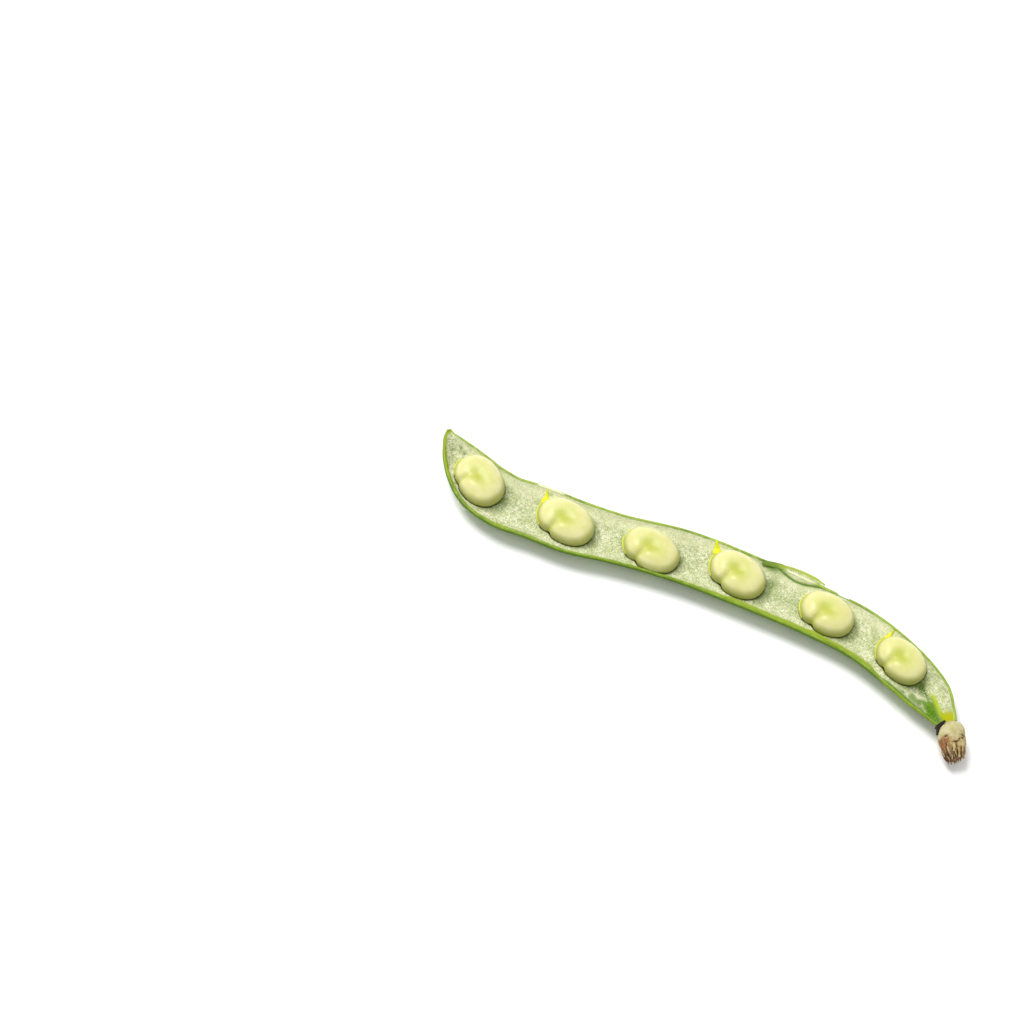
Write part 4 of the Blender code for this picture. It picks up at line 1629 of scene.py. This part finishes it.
@dataclass(frozen=True)
class BeanFinish:
    """Fresh seed skin: thin, wet and slightly see-through over pale green flesh."""

    lobe: str = "#e8e3aa"
    centre: str = "#b3ba30"
    # Olive towards the bean's edge: painted shade, with greener flesh as well.
    flank_tint_and_shade: str = "#9fa43e"
    mottle: str = "#dbd98e"
    roughness: float = 0.36

    def build(self) -> bpy.types.Material:
        """The beans' material: cream lobes that turn yellow-green in the hollows.

        Returns:
            The material.
        """
        # The wet skin gives broad soft highlights, and light that enters it makes the shaded side glow.
        # It is clouded underneath, and its pores, too fine to show, are drawn coarser than they are.
        clouds = {"cloud": (3.333, 3.0, 0.5), "pores": (0.5, 2.0, 0.5)}
        skin = Recipe("fresh_bean_skin", (Zone.FLANK, Zone.HOLLOW), clouds)
        # The flank layer is painted shade at the bean's edge, over greener flesh.
        colour = skin.lay(
            self.lobe,
            Layer("cloud", self.mottle, 0.42, 0.68, 0.7),
            Layer(Zone.FLANK, self.flank_tint_and_shade, most=0.7),
            Layer(Zone.HOLLOW, self.centre),
        )
        values = {
            "Roughness": self.roughness,
            "IOR": 1.42,
            "Subsurface Weight": 0.3,
            "Subsurface Radius": (1.0, 0.85, 0.35),
            "Subsurface Scale": 0.0022,
        }
        return skin.finish(colour, values, ("pores", 0.25, 0.00004))


@dataclass(frozen=True)
class FunicleFinish:
    """Fresh seed stalk: moist, bright yellow-green tissue."""

    body: str = "#ccd44a"
    foot: str = "#dfe01c"
    roughness: float = 0.45

    def build(self) -> bpy.types.Material:
        """The seed stalks' material.

        Returns:
            The material.
        """
        # Thin moist tissue lets light through, so the stalks look brighter than what they lie on.
        stalk = Recipe("moist_seed_stalk", (Zone.SHARE,))
        colour = stalk.lay(self.body, Layer(Zone.SHARE, self.foot, 0.6, 0.3))
        values = {
            "Roughness": self.roughness,
            "IOR": 1.4,
            "Subsurface Weight": 0.2,
            "Subsurface Radius": (1.0, 0.9, 0.2),
            "Subsurface Scale": 0.001,
        }
        return stalk.finish(colour, values)


@dataclass(frozen=True)
class ShredFinish:
    """Dried seam membrane: thin, whitish and matt."""

    body: str = "#e6ecc0"
    roughness: float = 0.7

    def build(self) -> bpy.types.Material:
        """The shreds' material."""
        # Dry and full of air, so it looks pale and has no highlight.
        return Recipe("dried_membrane").finish(self.body, {"Roughness": self.roughness})


@dataclass(frozen=True)
class StalkFinish:
    """Dried stalk bark: cream shoulder, tan fibre, and brown cracks with painted shade in them and in the
    folds.
    """

    cream: str = "#c6c094"
    tan: str = "#bfa062"
    rust: str = "#8e5a2a"
    brown: str = "#4a2410"
    olive: str = "#b0a666"
    roughness: float = 0.8

    def build(self) -> bpy.types.Material:
        """The stalk stub's material.

        Returns:
            The material.
        """
        # Dry bark is matt and blotched, pale where it is whole and brown where it has cracked; the dark in
        # its folds, cracks and clefts is painted shade as well.
        zones = (Zone.SHARE, Zone.STAIN, Zone.GROOVE)
        bark = Recipe("dried_stalk_bark", zones, {"blotch": (1.5385, 5.0, 0.65)})
        bark.sift("stain", Zone.STAIN, "blotch", 0.3, 0.55, 1.2)
        colour = bark.lay(
            self.cream,
            Layer("blotch", self.olive, 0.44, 0.62),
            Layer(Zone.SHARE, self.tan, 0.35, 0.75, 0.65),
            Layer("stain", self.rust),
            Layer(Zone.GROOVE, self.brown),
        )
        return bark.finish(colour, {"Roughness": self.roughness}, ("blotch", 0.7, 0.0002))


@dataclass(frozen=True)
class CalyxFinish:
    """Withered flower remains: brittle, near black, brown where thin."""

    dark: str = "#120a06"
    brown: str = "#3c2212"
    roughness: float = 0.85

    def build(self) -> bpy.types.Material:
        """The calyx remains' material.

        Returns:
            The material.
        """
        # Dry black scales swallow light, and their torn veins catch a little of it.
        scale = Recipe("withered_calyx_scale", clouds={"veins": (0.8333, 4.0, 0.7)})
        colour = scale.lay(self.dark, Layer("veins", self.brown, 0.5, 0.7))
        return scale.finish(colour, {"Roughness": self.roughness}, ("veins", 0.8, 0.0002))


@dataclass
class Studio:
    """White floor, soft light from the beak's side, and the camera."""

    azimuth: float = 34.29
    elevation: float = 60.0
    lens: float = 85.0
    sensor: float = 36.0
    distance: float = 0.82
    target: tuple[float, float, float] = (-0.06706, -0.01415, 0.0082)
    floor_size: float = 6.0
    floor_level: float = -0.0001
    floor_colour: str = "#fbfbfb"
    floor_roughness: float = 0.9
    sky: float = 0.4
    # Each sun's power, spread in degrees and direction.
    suns: dict[str, tuple[float, float, tuple[float, float, float]]] = field(
        default_factory=lambda: {
            "key": (2.2, 24.0, (0.42, -0.1, -0.9)),
            "overhead": (0.95, 90.0, (0.0, 0.0, -1.0)),
        }
    )

    def stand_camera(self) -> None:
        """Stand the camera where the picture was taken."""
        turn, rise = np.radians(self.azimuth), np.radians(self.elevation)
        back = Vector((np.sin(turn) * np.cos(rise), -np.cos(turn) * np.cos(rise), np.sin(rise)))
        view = bpy.data.cameras.new("camera")
        view.lens = self.lens
        view.sensor_width = self.sensor
        view.clip_start = 0.01
        stand = bpy.data.objects.new("camera", view)
        stand.location = Vector(self.target) + back * self.distance
        stand.rotation_euler = (-back).to_track_quat("-Z", "Y").to_euler()
        bpy.context.collection.objects.link(stand)
        bpy.context.scene.camera = stand

    def hang_suns(self) -> None:
        """Add the soft suns."""
        for name, (power, spread, towards) in self.suns.items():
            lamp = bpy.data.lights.new(name, "SUN")
            lamp.energy = power
            lamp.angle = np.radians(spread)
            holder = bpy.data.objects.new(name, lamp)
            holder.rotation_euler = Vector(towards).to_track_quat("-Z", "Y").to_euler()
            bpy.context.collection.objects.link(holder)

    def build(self) -> None:
        """Lay the floor and set the light, the sky and the camera."""
        deselect_all()
        bpy.ops.mesh.primitive_plane_add(size=self.floor_size, location=(0.0, 0.0, self.floor_level))
        floor = bpy.context.object
        floor.name = "floor"
        # Plain matt paper, a little off white so that the shadow reads.
        paper = Recipe("white_paper").finish(self.floor_colour, {"Roughness": self.floor_roughness})
        floor.data.materials.append(paper)
        world = bpy.data.worlds.new("soft_white_room")
        world.use_nodes = True
        world.node_tree.nodes["Background"].inputs["Color"].default_value = (1.0, 1.0, 1.0, 1.0)
        world.node_tree.nodes["Background"].inputs["Strength"].default_value = self.sky
        bpy.context.scene.world = world
        self.hang_suns()
        self.stand_camera()
        bpy.context.scene.view_settings.view_transform = "Standard"


def make_beans() -> tuple[Bean, ...]:
    """Set out the beans from the beak to the neck.

    Returns:
        The six beans.
    """
    # Place along and across, turn, length, width, foot of the seed stalk, and depth of the notch.
    rows = (
        (-78.0, -10.3, -24.0, 20.2, 15.2, (164.0, 1.9), 0.08),
        (-44.7, -7.2, -2.0, 20.8, 14.8, (151.6, 4.4), 0.13),
        (-14.8, -0.2, 0.0, 20.2, 14.2, (163.0, 1.6), 0.12),
        (14.0, 8.2, -6.0, 20.3, 14.6, (156.0, 5.0), 0.13),
        (46.3, 12.2, 0.0, 18.9, 13.9, (163.0, 1.5), 0.13),
        (75.1, 11.0, -14.0, 18.3, 13.3, (145.5, 3.2), 0.11),
    )
    return tuple(Bean(number, *row) for number, row in enumerate(rows, start=1))


def main() -> None:
    """Load the frame, build every piece over it and set the studio."""
    logging.basicConfig(level=logging.INFO, format="%(message)s")
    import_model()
    course = Course(count=440)
    beans = make_beans()
    pod_tissue = PodFinish().build()
    pod = PodHalf(course, beans)
    pod.build(pod_tissue)
    PeeledStrand(course).build(pod_tissue)
    MembraneShreds().build(ShredFinish().build())
    bean_skin = BeanFinish().build()
    for bean in beans:
        bean.build(bean_skin)
    seed_stalk = FunicleFinish().build()
    for bean in beans:
        Funicle(bean, pod).build(seed_stalk)
    stub = StalkStub(course)
    stub.build(StalkFinish().build())
    CalyxRemains(stub).build(CalyxFinish().build())
    Studio().build()


if __name__ == "__main__":
    main()
